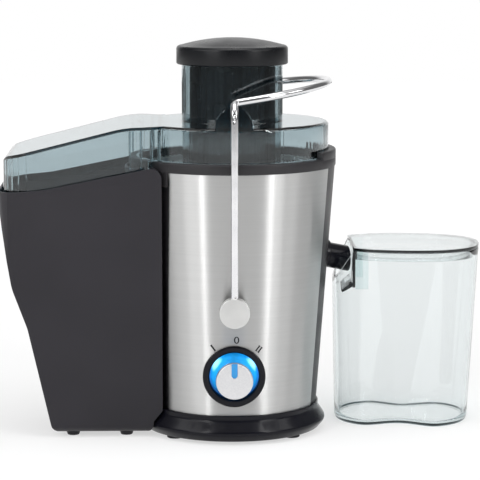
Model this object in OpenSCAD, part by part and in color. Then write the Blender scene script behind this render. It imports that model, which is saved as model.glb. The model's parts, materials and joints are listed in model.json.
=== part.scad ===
// Centrifugal juicer with a locking bail, a side pulp bin and a juice jug.
// Millimetres, +Z up. The origin is where the basket axis meets the table;
// -Y is the front with the switch, -X the pulp bin, +X the juice spout.

/* [Base] */
// Diameter of each rubber foot
foot_d = 14; // [11:0.5:15]
// Height of the rubber pads under the base
foot_h = 2.5; // [2:0.1:4]
// Distance from a foot's edge to the edge of the base
foot_inset = 1.7; // [1.4:0.1:4]
// Angle of the feet from the X axis
foot_turn = 42; // [38:1:48]
// Thickness of the base floor
floor_t = 2.6; // [2:0.1:4]
// How far the base flares out past the housing
plinth_flare = 9.6; // [7:0.2:11]
// How far the base's underside is drawn in from its widest part
plinth_tuck = 5.8; // [4:0.1:6.2]
// Height of the top lip of the base
plinth_h = 24.5; // [23:0.5:28]
// How deep the housing sits in the base
plinth_socket = 5.5; // [4:0.5:7]

/* [Housing] */
// Height of the housing's top rim
housing_top = 231; // [226:1:236]
// Growth of the housing radius for each millimetre of height
housing_taper = 0.0744; // [0.07:0.001:0.078]
// Wall of the plastic housing behind the steel
housing_t = 2.5; // [2:0.1:3]
// Thickness of the steel front panel
panel_t = 0.8; // [0.5:0.1:1.2]
// Half angle that the steel panel covers from the front
panel_half = 66; // [60:1:72]
// Clearance between the top of the motor and the deck
deck_gap = 6.5; // [5:0.5:8]
// Thickness of the motor deck
deck_t = 3; // [2:0.1:3.5]

/* [Bowl and lid] */
// How far the bowl's collar stands out past the housing
collar_lap = 0.8; // [0.4:0.1:1.4]
// Height of the collar above the housing rim
collar_h = 8.6; // [7:0.1:10]
// Wall of the bowl
bowl_t = 2.5; // [2:0.1:3]
// Clearance between the bowl and the housing's wall
bowl_gap = 3.2; // [2.6:0.1:4]
// Clearance between the bowl and the motor deck
bowl_lift = 4; // [3:0.5:5]
// Clearance between the basket's rim and the bowl's wall
basket_gap = 3.7; // [3:0.1:5]
// How far the ear on the spout side rises above the collar
ear_h = 5.9; // [4:0.1:8]
// How far the round lid is set in from the collar's edge
lid_step = 6.5; // [6.2:0.1:7]
// Wall of the clear lid
lid_t = 2.5; // [2:0.1:3]
// Height of the lid's flat top above the collar
lid_h = 29.4; // [27:0.2:32]
// Rounding of the lid's top edge
lid_round = 3; // [2:0.5:3.5]
// Outer radius of the feed chute
chute_r = 43.5; // [42:0.5:44]
// Length of the feed chute above the lid
chute_up = 48.5; // [44:0.5:54]
// Gap between the chute's lower end and the grater
chute_gap = 6; // [5:0.5:8]
// Radius of the lugs that the bail presses on
lug_r = 15.4; // [13:0.2:16]
// Thickness of a lug
lug_t = 7; // [5:0.5:8]

/* [Spout] */
// Outer diameter of the spout pipe
spout_d = 22; // [19:0.5:23]
// Wall of the spout pipe
spout_t = 2; // [1.5:0.1:2.5]
// Downward slope of the spout in degrees
spout_tilt = 12; // [9:0.5:13]
// Direction of the spout, turned from +X towards the back
spout_turn = 13; // [8:1:16]
// How far the spout reaches past the collar
spout_out = 15.5; // [12:0.5:17]

/* [Pulp bin] */
// Wall of the pulp bin
bin_t = 2.3; // [2:0.1:3]
// Length of the bin beyond the collar
bin_len = 110.5; // [106:0.5:115]
// Half width of the bin at its rim
bin_half = 70.5; // [69.8:0.1:73]
// Half width of the bin at its floor
bin_floor_half = 45; // [42:0.5:48]
// Gap between the bin and the housing
bin_gap = 2.2; // [1.6:0.1:3]
// Height of the moulded feet under the bin
bin_foot_h = 4; // [3:0.5:5]
// Depth to which the lid's skirt reaches into the bin
skirt_drop = 6; // [4:0.5:8]
// Gap between the skirt and the bin's left end
skirt_gap = 3; // [2:0.1:4]

/* [Pusher] */
// Clearance between the pusher's guide ribs and the chute
pusher_gap = 0.5; // [0.4:0.1:1]
// How far the guide ribs stand out of the pusher's sleeve
guide_h = 5; // [3:0.5:6]
// Thickness of the guide ribs
guide_t = 1.6; // [1.2:0.1:2.4]
// Number of guide ribs
guides = 6; // [3:1:8]
// Wall of the pusher
pusher_t = 2.2; // [1.6:0.1:3]
// How far the pusher's cap overhangs the chute
cap_lap = 4.5; // [3:0.5:6]
// Height of the pusher's cap
cap_h = 22.5; // [18:0.5:26]
// Rise of the cap's domed top
cap_dome = 6.5; // [4:0.5:7]

/* [Locking bail] */
// Diameter of the bail's rod
rod_d = 6.4; // [5.5:0.1:7]
// How far the bail's pivots lie under the motor deck
pivot_drop = 13.5; // [12.5:0.5:18]
// Clearance between the bail's legs and the collar
leg_gap = 1.3; // [1:0.1:2.2]
// How far the loop's centre line lies inside the lid's edge
loop_inset = 0.3; // [0:0.1:2.5]
// Angle at which the loop rises towards its far side
loop_rise = 8.5; // [6:0.5:11]
// Radius of the pivot discs
disc_r = 12.75; // [11:0.25:14]
// Thickness of the pivot discs
disc_t = 8.6; // [8:0.2:9]
// Diameter of the pivot pins
pin_d = 8; // [6:0.5:9]
// Running clearance of shafts and pins in their bores
run_fit = 0.06; // [0.03:0.01:0.09]

/* [Switch knob] */
// Height of the knob's axis where it leaves the housing
knob_z = 59; // [56:0.5:62]
// Outer radius of the black bezel
bezel_r = 26.5; // [25.5:0.1:28]
// Inner radius of the black bezel
bezel_bore_r = 20.8; // [20:0.1:21.5]
// How far the bezel stands proud of the panel's crown
bezel_proud = 1.8; // [1.2:0.1:3]
// Radius of the knob's silver face
knob_r = 15.6; // [14:0.1:16.5]
// How far the knob stands out
knob_out = 17; // [14:0.5:20]
// Diameter of the knob's shaft
knob_shaft_d = 6; // [5:0.5:7]

/* [Motor and basket] */
// Diameter of the motor shaft
shaft_d = 8; // [7:0.5:9]
// Outer diameter of the ball bearings
bearing_d = 22; // [20:0.5:24]
// Width of the ball bearings
bearing_w = 7; // [6:0.5:8]
// Width across the motor's stack and brackets
motor_w = 74; // [70:1:76]
// Height of the laminated stack
stack_h = 34; // [30:1:38]
// Radius of the rotor's laminations
rotor_r = 19; // [17:0.5:20]
// Height of the rubber motor mounts
mount_h = 8; // [6:0.5:9]
// Radius of the grater plate
grater_r = 54; // [52:0.5:55]
// Thickness of the grater plate
grater_t = 1.4; // [1:0.1:2]
// Height of the basket
basket_h = 40; // [37:0.5:42]
// Inner radius of the basket wall at its top
basket_top_r = 72; // [70:0.5:73]
// How far the basket rises above the housing
basket_rise = 2; // [1:0.5:4]
// Thickness of the perforated basket wall
mesh_t = 0.8; // [0.6:0.1:1]

/* [Jug] */
// How far the jug's mouth is cut back from its end
mouth_set = 13.6; // [12:0.1:14]
// Place of the jug's centre along Y
jug_y = 34; // [30:0.5:38]
// Turn of the jug seen from above
jug_turn = -7; // [-9:0.5:-5]
// Length of the jug at its floor
jug_len = 118; // [114:0.5:118.5]
// Width of the jug's two lobes at its floor
jug_wide = 100; // [94:1:104]
// How far each side of the waist is drawn in
jug_waist = 16; // [8:0.5:18]
// Height of the jug's rim
jug_h = 155; // [150:1:158]
// Wall of the jug
jug_t = 2.2; // [1.8:0.1:3]
// Growth of the jug's width from floor to rim
jug_flare_y = 1.09; // [1.04:0.01:1.12]
// Growth of the jug's length from floor to rim
jug_flare_x = 1.1; // [1.05:0.01:1.12]
// How far the middle of the jug's rim lies outward of the middle of its floor
jug_lean = 2.9; // [1.5:0.1:4]
// Thickness of the jug's lid plate
jug_lid_t = 2.5; // [2:0.1:3]
// Depth of the lid's skirt inside the rim
jug_skirt = 8; // [6:0.5:9]
// Gap between the spout's end and the froth separator
mouth_gap = 0.6; // [0.4:0.1:1.5]
// How far the froth separator reaches below the spout
separator_drop = 10.5; // [9:0.5:14]

/* [Hidden] */

$fn = 96;
eps = 0.01;
seat_gap = 0.3;
black = "#232427";
anthracite = "#3a383e";
clear_teal = "#86aab2";
steel = "#b9bbbc";
chrome = "#d8dadc";
copper = "#b06a3a";

// Levels of the fixed stack, from the feet up to the chute.
base_floor_z = foot_h + floor_t;
socket_z = plinth_h - plinth_socket;
mount_post_h = 6;
mount_z = base_floor_z + mount_post_h;
bracket_z = mount_z + mount_h;
bracket_t = 3;
lower_bearing_z = bracket_z + bracket_t;
fan_h = 10;
fan_z = lower_bearing_z + bearing_w + 3;
comm_h = 13;
comm_z = fan_z + fan_h + 3;
stack_z = comm_z + comm_h + 4;
stack_top = stack_z + stack_h;
upper_bracket_z = stack_top + 22;
motor_head_h = 2.4;
deck_z = upper_bracket_z + bracket_t + motor_head_h + deck_gap + deck_t;
bowl_z = deck_z + bowl_lift;
bowl_in_z = bowl_z + bowl_t;
rim_h = 3.5;
basket_rim_z = housing_top + basket_rise;
mesh_top_z = basket_rim_z - rim_h;
basket_z = basket_rim_z - basket_h;
grater_z = basket_z + grater_t;
chute_bottom = grater_z + chute_gap;
collar_z = housing_top + collar_h;
lid_z = collar_z + lid_h;
chute_top = lid_z + chute_up;

// Radii, from the basket's rim out to the bail's legs.
rim_w = 4;
bowl_top_r = basket_top_r + rim_w + basket_gap + bowl_t;
body_top_r = bowl_top_r + bowl_gap + housing_t + panel_t;
collar_r = body_top_r + collar_lap;
lid_r = collar_r - lid_step;
leg_y = collar_r + rod_d / 2 + leg_gap;
loop_r = lid_r - loop_inset;

// Radius of the housing's outside at a height.
function body_r(z) = body_top_r - housing_taper * (housing_top - z);
// Radius of the inside of the housing's plastic wall at a height.
function wall_in_r(z) = body_r(z) - panel_t - housing_t;
// Outer radius of the bowl at a height.
function bowl_r(z) = bowl_floor_r
    + (bowl_top_r - bowl_floor_r) * (z - bowl_z) / (housing_top - bowl_z);
// Inner radius of the basket's wall at a height.
function basket_in_r(z) = grater_r
    + (basket_top_r - grater_r) * (z - basket_z) / (mesh_top_z - basket_z);
bowl_floor_r = wall_in_r(bowl_z) - bowl_gap;

// Outlines: rounded and inset polygons, taken counter-clockwise.
function unit(v) = v / norm(v);
function cyc(list, i) = list[(i + len(list)) % len(list)];
function xy(p) = [p[0], p[1]];
function left_of(v) = [-v[1], v[0]];
function turn_sign(a, b, c) = cross(b - a, c - b) >= 0 ? 1 : -1;
function inset(pts, t) = [for (i = [0:len(pts) - 1])
    let (a = xy(cyc(pts, i - 1)), b = xy(pts[i]), c = xy(cyc(pts, i + 1)),
         n1 = left_of(unit(b - a)), n2 = left_of(unit(c - b)),
         q = b + t * (n1 + n2) / (1 + n1 * n2))
    [q[0], q[1], max(pts[i][2] - turn_sign(a, b, c) * t, 0)]];
function corner(a, b, c, r, steps) =
    let (u = unit(a - b), v = unit(c - b), half = acos(u * v) / 2,
         back = r / tan(half), centre = b + unit(u + v) * r / sin(half),
         s = b + u * back - centre, sweep = turn_sign(a, b, c) * (180 - 2 * half))
    [for (i = [0:steps]) let (w = sweep * i / steps)
        centre + [s[0] * cos(w) - s[1] * sin(w), s[0] * sin(w) + s[1] * cos(w)]];
function rounded(pts, steps = 6) = [for (i = [0:len(pts) - 1])
    each (pts[i][2] < 0.1 ? [xy(pts[i])]
        : corner(xy(cyc(pts, i - 1)), xy(pts[i]), xy(cyc(pts, i + 1)), pts[i][2], steps))];

// Extrudes an outline drawn in X and Z along Y, centred on the XZ plane.
module along_y(width) {
    rotate([90, 0, 0]) linear_extrude(width, center = true) children();
}
// Extrudes an outline drawn in Y and Z along X.
module along_x(from, to) {
    translate([from, 0, 0]) rotate([90, 0, 90]) linear_extrude(to - from) children();
}
// A ring or tube of the given radii between two heights.
module ring(r_in, r_out, z0, z1) {
    translate([0, 0, z0]) difference() {
        cylinder(r = r_out, h = z1 - z0);
        translate([0, 0, -1]) cylinder(r = r_in, h = z1 - z0 + 2);
    }
}
// The solid cone of the housing's outside, grown outwards.
module body_cone(grow, z0, z1) {
    translate([0, 0, z0])
        cylinder(r1 = body_r(z0) + grow, r2 = body_r(z1) + grow, h = z1 - z0);
}
// A tube swept along points, its section square to the path.
module swept_rod(path, r, sides) {
    last = len(path) - 1;
    rings = [for (i = [0:last])
        let (t = unit(path[min(i + 1, last)] - path[max(i - 1, 0)]),
             out = unit([path[i][0], path[i][1], 0]),
             v = unit(cross(t, out)), u = cross(v, t))
        for (k = [0:sides - 1])
            path[i] + r * (cos(360 * k / sides) * u + sin(360 * k / sides) * v)];
    faces = concat(
        [[for (k = [0:sides - 1]) k]],
        [for (i = [0:last - 1]) for (k = [0:sides - 1])
            let (a = i * sides + k, b = i * sides + (k + 1) % sides)
            for (tri = [[a, a + sides, b], [b, a + sides, b + sides]]) tri],
        [[for (k = [sides - 1:-1:0]) last * sides + k]]);
    polyhedron(rings, faces);
}

// ---- Base ----
foot_stem_d = 5;
foot_barb_h = 2;
plinth_belly_z = 9.5;
plinth_r = body_r(plinth_belly_z) + plinth_flare;
plinth_foot_r = plinth_r - plinth_tuck;
foot_ring = plinth_foot_r - foot_d / 2 - foot_inset;
foot_seats = [for (sy = [-1, 1]) for (sx = [-1, 1])
    foot_ring * [sx * cos(foot_turn), sy * sin(foot_turn)]];
// Rubber motor mounts and the posts under them.
mount_r = 6;
mount_x = motor_w / 2 - mount_r - 1;
mount_y = 15;
mount_seats = [for (sy = [-1, 1]) for (sx = [-1, 1]) [sx * mount_x, sy * mount_y]];
// Bosses, columns and screws that join the base to the housing.
column_r = 4.5;
column_ring = wall_in_r(socket_z) - column_r - 3.1;
column_turns = [30, 150, 270];
column_h = 24;
boss_r = 6.5;
boss_h = 4;
base_screw_d = 3.6;
screw_head_d = 7;
screw_head_h = 2;
boss_top = base_floor_z + boss_h;
screw_seat_z = boss_top - 2.4;
// The flared side of the base, from its foot up to its lip.
plinth_neck_z = plinth_h - 4.5;
lip_t = 1.8;

module at_columns() {
    for (a = column_turns) rotate([0, 0, a]) translate([column_ring, 0, 0]) children();
}

module base_plinth() color(black) difference() {
    union() {
        rotate_extrude() polygon(rounded([
            [0, foot_h, 0],
            [plinth_foot_r, foot_h, 0],
            [plinth_r, plinth_belly_z, 4],
            [body_r(plinth_neck_z) + lip_t, plinth_neck_z, 5],
            [body_r(plinth_h) + lip_t, plinth_h, 0.6],
            [body_r(plinth_h) + eps, plinth_h, 0],
            [body_r(socket_z) + eps, socket_z, 0],
            [wall_in_r(socket_z) + 1, socket_z, 0],
            [wall_in_r(socket_z) + 1, base_floor_z, 0],
            [0, base_floor_z, 0]]));
        at_columns() translate([0, 0, base_floor_z - eps])
            cylinder(r = boss_r, h = boss_h + eps);
        for (p = mount_seats) translate([p[0], p[1], base_floor_z - eps])
            cylinder(r = mount_r, h = mount_post_h + eps);
    }
    for (p = foot_seats) translate([p[0], p[1], foot_h - 1])
        cylinder(d = foot_stem_d, h = floor_t + 2);
    at_columns() {
        translate([0, 0, foot_h - 1])
            cylinder(d = screw_head_d + 1, h = screw_seat_z - foot_h + 1);
        translate([0, 0, foot_h]) cylinder(d = base_screw_d, h = boss_top);
    }
    for (a = [0:30:330]) rotate([0, 0, a]) translate([20, -1.5, foot_h - 1])
        cube([14, 3, floor_t + 2]);
}

module foot(i) color("#1b1b1c") translate([foot_seats[i][0], foot_seats[i][1], 0]) {
    rotate_extrude() polygon([
        [0, 0], [foot_d / 2 - 0.6, 0], [foot_d / 2, 0.6], [foot_d / 2, foot_h],
        [foot_stem_d / 2, foot_h], [foot_stem_d / 2, base_floor_z],
        [foot_stem_d / 2 + 1, base_floor_z],
        [foot_stem_d / 2 - 0.8, base_floor_z + foot_barb_h], [0, base_floor_z + foot_barb_h]]);
}

module base_screws() color(steel) at_columns() {
    translate([0, 0, screw_seat_z - screw_head_h])
        cylinder(d = screw_head_d, h = screw_head_h);
    translate([0, 0, screw_seat_z - eps])
        cylinder(d = base_screw_d, h = boss_top - screw_seat_z + column_h / 2);
}

// ---- Housing ----
bush_r = 6;
bush_flange_r = 10;
bush_in = 3;
gland_r = 5.5;
cord_r = 3.2;
gland_z = plinth_h + 9.5;
vent_w = 34;
vent_h = 3;
vent_pitch = 7;
vent_rows = 5;
vent_z = 52;
deck_spigot_h = 10;
deck_spigot_r = 12;
shaft_hole_r = shaft_d / 2 + 1;
spout_z = bowl_in_z + spout_d / 2 + 0.5;
spout_reach = collar_r + spout_out;
slot_half = spout_d / 2 + 2;
slot_floor = spout_z - slot_half;
pivot_z = deck_z - deck_t - pivot_drop;

// The upright slot in the housing that the spout drops into.
module spout_slot(shrink) rotate([0, 0, spout_turn]) {
    w = slot_half - shrink;
    translate([bowl_floor_r, 0, spout_z]) rotate([0, 90, 0]) cylinder(r = w, h = 30);
    translate([bowl_floor_r, -w, spout_z]) cube([30, 2 * w, housing_top - spout_z + 1]);
}
module knob_frame() {
    translate([0, -body_r(knob_z), knob_z]) rotate([90 + atan(housing_taper), 0, 0])
        children();
}
module wall_holes() {
    translate([0, 0, pivot_z]) rotate([90, 0, 0])
        cylinder(r = bush_r + eps, h = 2 * collar_r, center = true);
    knob_frame() translate([0, 0, -bezel_depth - 2])
        cylinder(r = bezel_tube_r + eps, h = bezel_depth + 10);
}
// A band of the housing's skin: all round, or a sector about the front.
module skin(t_in, t_out, z0, z1, half = 180) {
    rotate([0, 0, -90 - half]) rotate_extrude(angle = 2 * half) polygon([
        [body_r(z0) - t_in, z0], [body_r(z0) + t_out, z0],
        [body_r(z1) + t_out, z1], [body_r(z1) - t_in, z1]]);
}

module housing_shell() color(black) difference() {
    union() {
        skin(panel_t + housing_t, 0, socket_z, housing_top);
        translate([0, 0, deck_z - deck_t]) cylinder(r = wall_in_r(deck_z - deck_t) + 0.5, h = deck_t);
        translate([0, 0, deck_z - eps]) cylinder(r = deck_spigot_r, h = deck_spigot_h);
        at_columns() {
            translate([0, 0, boss_top]) cylinder(r = column_r, h = column_h);
            translate([0, -1.5, socket_z])
                cube([wall_in_r(socket_z) - column_ring + 1, 3, column_h - socket_z + boss_top]);
        }
    }
    skin(panel_t, 1, socket_z - 1, housing_top + 1, panel_half);
    wall_holes();
    spout_slot(0);
    translate([0, 0, deck_z - deck_t - 1])
        cylinder(r = shaft_hole_r, h = deck_t + deck_spigot_h + 2);
    at_columns() translate([0, 0, boss_top - 1]) cylinder(d = base_screw_d, h = column_h / 2 + 1);
    translate([0, body_r(gland_z) - 20, gland_z]) rotate([-90, 0, 0])
        cylinder(r = gland_r + eps, h = 30);
    for (i = [0:vent_rows - 1])
        translate([-vent_w / 2, body_r(vent_z) - 20, vent_z + i * vent_pitch])
            cube([vent_w, 30, vent_h]);
}

module steel_panel() color(steel) difference() {
    skin(panel_t, 0, socket_z, housing_top, panel_half);
    wall_holes();
}

// Bushes of the bail's pivots, seated on the outside of the housing.
bush_out_y = leg_y - disc_t / 2 - 0.4;
bush_in_y = wall_in_r(pivot_z) - bush_in;
module bail_bush() color(black) difference() {
    union() {
        difference() {
            translate([0, -bush_out_y, pivot_z]) rotate([-90, 0, 0])
                cylinder(r = bush_flange_r, h = bush_out_y - bush_in_y);
            body_cone(eps, deck_z - 40, deck_z + 20);
        }
        translate([0, -bush_out_y, pivot_z]) rotate([-90, 0, 0])
            cylinder(r = bush_r, h = bush_out_y - bush_in_y);
    }
    translate([0, -2 * collar_r, pivot_z]) rotate([-90, 0, 0])
        cylinder(d = pin_d + 2 * run_fit, h = 2 * collar_r);
}
module bail_bush_front() bail_bush();
module bail_bush_rear() mirror([0, 1, 0]) bail_bush();

module cord_gland() color("#1b1b1c") translate([0, 0, gland_z]) difference() {
    union() {
        difference() {
            rotate([-90, 0, 0]) cylinder(r = gland_r + 2, h = body_r(gland_z) + 3);
            translate([0, 0, -gland_z]) body_cone(eps, socket_z, gland_z + 20);
        }
        translate([0, wall_in_r(gland_z) - 4, 0]) rotate([-90, 0, 0])
            cylinder(r = gland_r, h = body_r(gland_z) - wall_in_r(gland_z) + 7);
    }
    rotate([-90, 0, 0]) cylinder(r = cord_r, h = 2 * collar_r);
}

// ---- Switch ----
bezel_tube_r = bezel_bore_r + 1.3;
bezel_floor_t = 2.5;
bezel_depth = 9;
ring_t = 2;
ring_in_r = 8;
knob_base = -bezel_depth + bezel_floor_t + ring_t + 0.5;
knob_cap_h = 5;
switch_w = 24;
switch_h = 16;

module knob_bezel() color(black) difference() {
    union() {
        difference() {
            knob_frame() translate([0, 0, -bezel_depth])
                cylinder(r = bezel_r, h = bezel_depth + bezel_proud);
            body_cone(eps, socket_z, knob_z + 60);
        }
        knob_frame() translate([0, 0, -bezel_depth])
            cylinder(r = bezel_tube_r, h = bezel_depth + bezel_proud);
    }
    knob_frame() {
        translate([0, 0, bezel_floor_t - bezel_depth])
            cylinder(r = bezel_bore_r, h = bezel_depth + 10);
        translate([0, 0, -bezel_depth - 1])
            cylinder(d = knob_shaft_d + 2 * run_fit, h = bezel_floor_t + 2);
    }
}
module light_ring() color("#2fa4ff") knob_frame() translate([0, 0, bezel_floor_t - bezel_depth])
    ring(ring_in_r, bezel_bore_r - eps, 0, ring_t);
module rotary_switch() color("#3c3f45") knob_frame() translate([0, 0, -bezel_depth - switch_h])
    difference() {
        translate([-switch_w / 2, -switch_w / 2, 0]) cube([switch_w, switch_w, switch_h]);
        translate([0, 0, switch_h - 6]) cylinder(d = knob_shaft_d + 2 * run_fit, h = 8);
    }
module knob_skirt() color("#3aa7f0") knob_frame() difference() {
    translate([0, 0, knob_base])
        cylinder(r1 = bezel_bore_r - 1, r2 = knob_r - 0.2, h = knob_out - knob_cap_h - knob_base);
    translate([0, 0, knob_base - 1])
        cylinder(d = knob_shaft_d, h = knob_out - knob_cap_h - knob_base + 2);
}
pointer_w = 5;
pointer_len = 12.6;
pointer_deep = 1.6;
module pointer_shape(grow) {
    translate([-pointer_w / 2 - grow, knob_r - pointer_len + pointer_w / 2, 0])
        cube([pointer_w + 2 * grow, pointer_len, pointer_deep + 1]);
    translate([0, knob_r - pointer_len + pointer_w / 2, 0])
        cylinder(r = pointer_w / 2 + grow, h = pointer_deep + 1);
}
module knob_cap() color("#dcdde0") knob_frame() difference() {
    translate([0, 0, knob_out - knob_cap_h]) rotate_extrude() polygon(rounded([
        [0, 0, 0], [knob_r, 0, 0], [knob_r, knob_cap_h, 1.2], [0, knob_cap_h, 0]]));
    translate([0, 0, knob_out - pointer_deep]) pointer_shape(0);
}
module knob_pointer() color("#58b8e8") knob_frame() intersection() {
    translate([0, 0, knob_out - pointer_deep]) pointer_shape(-0.02);
    cylinder(r = knob_r - 0.3, h = knob_out - 0.4);
}
module knob_shaft() color(steel) knob_frame() translate([0, 0, -bezel_depth - 5])
    cylinder(d = knob_shaft_d, h = bezel_depth + 5 + knob_out - knob_cap_h);

// ---- Motor ----
cup_r = bearing_d / 2 + 3.5;
post_r = 4.5;
stack_w = motor_w - 8;
post_pitch = stack_w / 2 - post_r - 1.5;
fan_r = 22;
comm_r = 12;
coil_h = 13;
upper_bearing_z = upper_bracket_z - bearing_w;
motor_screw_d = 4;
brush_x = 28;
brush_w = 7;

module at_posts() {
    for (sx = [-1, 1]) for (sy = [-1, 1])
        translate([sx * post_pitch, sy * post_pitch, 0]) children();
}
module rounded_plate(w, r, h) {
    linear_extrude(h) polygon(rounded([
        [-w / 2, -w / 2, r], [w / 2, -w / 2, r], [w / 2, w / 2, r], [-w / 2, w / 2, r]]));
}
module lower_bracket() color(steel) difference() {
    union() {
        translate([0, 0, bracket_z]) rounded_plate(motor_w, 8, bracket_t);
        translate([0, 0, bracket_z]) cylinder(r = cup_r, h = bracket_t + bearing_w);
        at_posts() translate([0, 0, bracket_z]) cylinder(r = post_r, h = stack_z - bracket_z);
        for (s = [-1, 1]) translate([s * brush_x - 3, -4, bracket_z]) cube([6, 8, comm_z - bracket_z]);
    }
    translate([0, 0, lower_bearing_z]) cylinder(d = bearing_d + 2 * eps, h = bearing_w + 1);
    translate([0, 0, bracket_z - 1]) cylinder(r = shaft_hole_r, h = bracket_t + 2);
    at_posts() translate([0, 0, stack_z - 12]) cylinder(d = motor_screw_d, h = 13);
    for (p = mount_seats) translate([p[0], p[1], bracket_z - 1])
        cylinder(d = mount_pin_d, h = bracket_t + 2);
}
module upper_bracket() color(steel) difference() {
    union() {
        translate([0, 0, upper_bracket_z]) rounded_plate(stack_w, 6, bracket_t);
        translate([0, 0, upper_bearing_z]) cylinder(r = cup_r, h = bearing_w + bracket_t);
        at_posts() translate([0, 0, stack_top]) cylinder(r = post_r, h = upper_bracket_z - stack_top + 1);
    }
    translate([0, 0, upper_bearing_z - 1]) cylinder(d = bearing_d + 2 * eps, h = bearing_w + 1);
    translate([0, 0, upper_bracket_z - 1]) cylinder(r = shaft_hole_r, h = bracket_t + 2);
    at_posts() translate([0, 0, stack_top - 1])
        cylinder(d = motor_screw_d, h = upper_bracket_z - stack_top + bracket_t + 2);
}
module bearing(z) color("#9a9da2") ring(shaft_d / 2 + run_fit, bearing_d / 2, z, z + bearing_w);
module lower_bearing() bearing(lower_bearing_z);
module upper_bearing() bearing(upper_bearing_z);

mount_pin_d = 4;
module motor_mount(i) color("#1b1b1c") translate([mount_seats[i][0], mount_seats[i][1], mount_z]) {
    rotate_extrude() polygon([
        [0, 0], [mount_r, 0], [mount_r - 1, mount_h / 2], [mount_r, mount_h],
        [mount_pin_d / 2, mount_h], [mount_pin_d / 2, mount_h + bracket_t + 1.5], [0, mount_h + bracket_t + 1.5]]);
}
module motor_screws() color("#8d9094") at_posts() {
    translate([0, 0, stack_z - 10])
        cylinder(d = motor_screw_d, h = upper_bracket_z + bracket_t - stack_z + 10);
    translate([0, 0, upper_bracket_z + bracket_t]) cylinder(d = 1.8 * motor_screw_d, h = motor_head_h);
}
stator_bore_r = rotor_r + 0.6;
module stator_core() color("#6f7378") difference() {
    translate([0, 0, stack_z]) rounded_plate(stack_w, 8, stack_h);
    translate([0, 0, stack_z - 1]) cylinder(r = stator_bore_r, h = stack_h + 2);
    at_posts() translate([0, 0, stack_z - 1]) cylinder(d = motor_screw_d, h = stack_h + 2);
    for (s = [-1, 1]) for (sy = [-1, 1])
        translate([s * 8 - (s < 0 ? 10 : 0), sy * (stator_bore_r + 4) - 3, stack_z - 1])
            cube([10, 6, stack_h + 2]);
}
// A field coil: its two end turns over the stack, joined through the slots.
module field_coil(s) color(copper) {
    for (z0 = [stack_z - coil_end_low, stack_top])
        intersection() {
            ring(stator_bore_r + 1, stator_bore_r + 7, z0, z0 + (z0 < stack_z ? coil_end_low : coil_h));
            rotate([0, 0, s * 90 + 270]) translate([-coil_half, 4, z0]) cube([2 * coil_half, 40, coil_h]);
        }
    for (sx = [-1, 1]) translate([sx * 8 - (sx < 0 ? 10 : 0) + eps * 2, s * (stator_bore_r + 4) - 2.9, stack_z - 0.5])
        cube([9.9, 5.8, stack_h + 1]);
}
coil_end_low = 3;
coil_half = 19;
module field_coil_1() field_coil(-1);
module field_coil_2() field_coil(1);

module brush(s) color("#3b3b3d") translate([s > 0 ? comm_r + 0.2 : -brush_x - 6, -brush_w / 2, comm_z])
    cube([brush_x + 6 - comm_r - 0.2, brush_w, 9]);
module brush_1() brush(-1);
module brush_2() brush(1);

module motor_shaft() color(chrome) translate([0, 0, bracket_z - 1])
    cylinder(d = shaft_d, h = coupling_top - 2 - bracket_z + 1);
module cooling_fan() color("#2b2c2e") difference() {
    union() {
        translate([0, 0, fan_z]) cylinder(r = 8, h = fan_h);
        translate([0, 0, fan_z]) cylinder(r = fan_r, h = 1.5);
        for (a = [0:40:320]) rotate([0, 0, a]) translate([6, -0.8, fan_z]) cube([fan_r - 6.5, 1.6, fan_h]);
    }
    translate([0, 0, fan_z - 1]) cylinder(d = shaft_d, h = fan_h + 2);
}
module commutator() color(copper) ring(shaft_d / 2, comm_r, comm_z, comm_z + comm_h);
module rotor_core() color("#7a6a55") difference() {
    translate([0, 0, stack_z]) cylinder(r = rotor_r, h = stack_h);
    translate([0, 0, stack_z - 1]) cylinder(d = shaft_d, h = stack_h + 2);
    for (a = [0:30:330]) rotate([0, 0, a]) translate([rotor_r - 4, -1, stack_z - 1]) cube([6, 2, stack_h + 2]);
}
board_lift = 9;
board_t = 1.6;
board_w = 48;
board_deep = 16;
board_y = wall_in_r(socket_z) - 21.6;
board_leg_r = 2.5;
choke = [12, 10, 9];
capacitor_r = 4;
capacitor_h = 12;
module control_board() color("#2f6b45") translate([0, board_y, base_floor_z]) {
    translate([-board_w / 2, -board_deep / 2, board_lift]) cube([board_w, board_deep, board_t]);
    for (sx = [-1, 1]) translate([sx * (board_w / 2 - 4), 0, 0])
        cylinder(r = board_leg_r, h = board_lift + eps);
    translate([-choke[0] - 2, -choke[1] / 2, board_lift + board_t - eps]) cube(choke);
    translate([capacitor_r, 0, board_lift + board_t - eps])
        cylinder(r = capacitor_r, h = capacitor_h);
}

// ---- Basket ----
coupling_r = 12;
coupling_h = 14;
tower_r = 16.5;
tower_t = 2.5;
tower_top = deck_z + deck_spigot_h + 9;
coupling_z = tower_top + 2;
coupling_top = coupling_z + coupling_h;
hub_gap = 2;
hub_t = 2.5;
hub_plate_t = 3;
hub_in_r = tower_r + hub_gap;
tooth_h = 1.2;
tooth_rows = 8;

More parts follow.
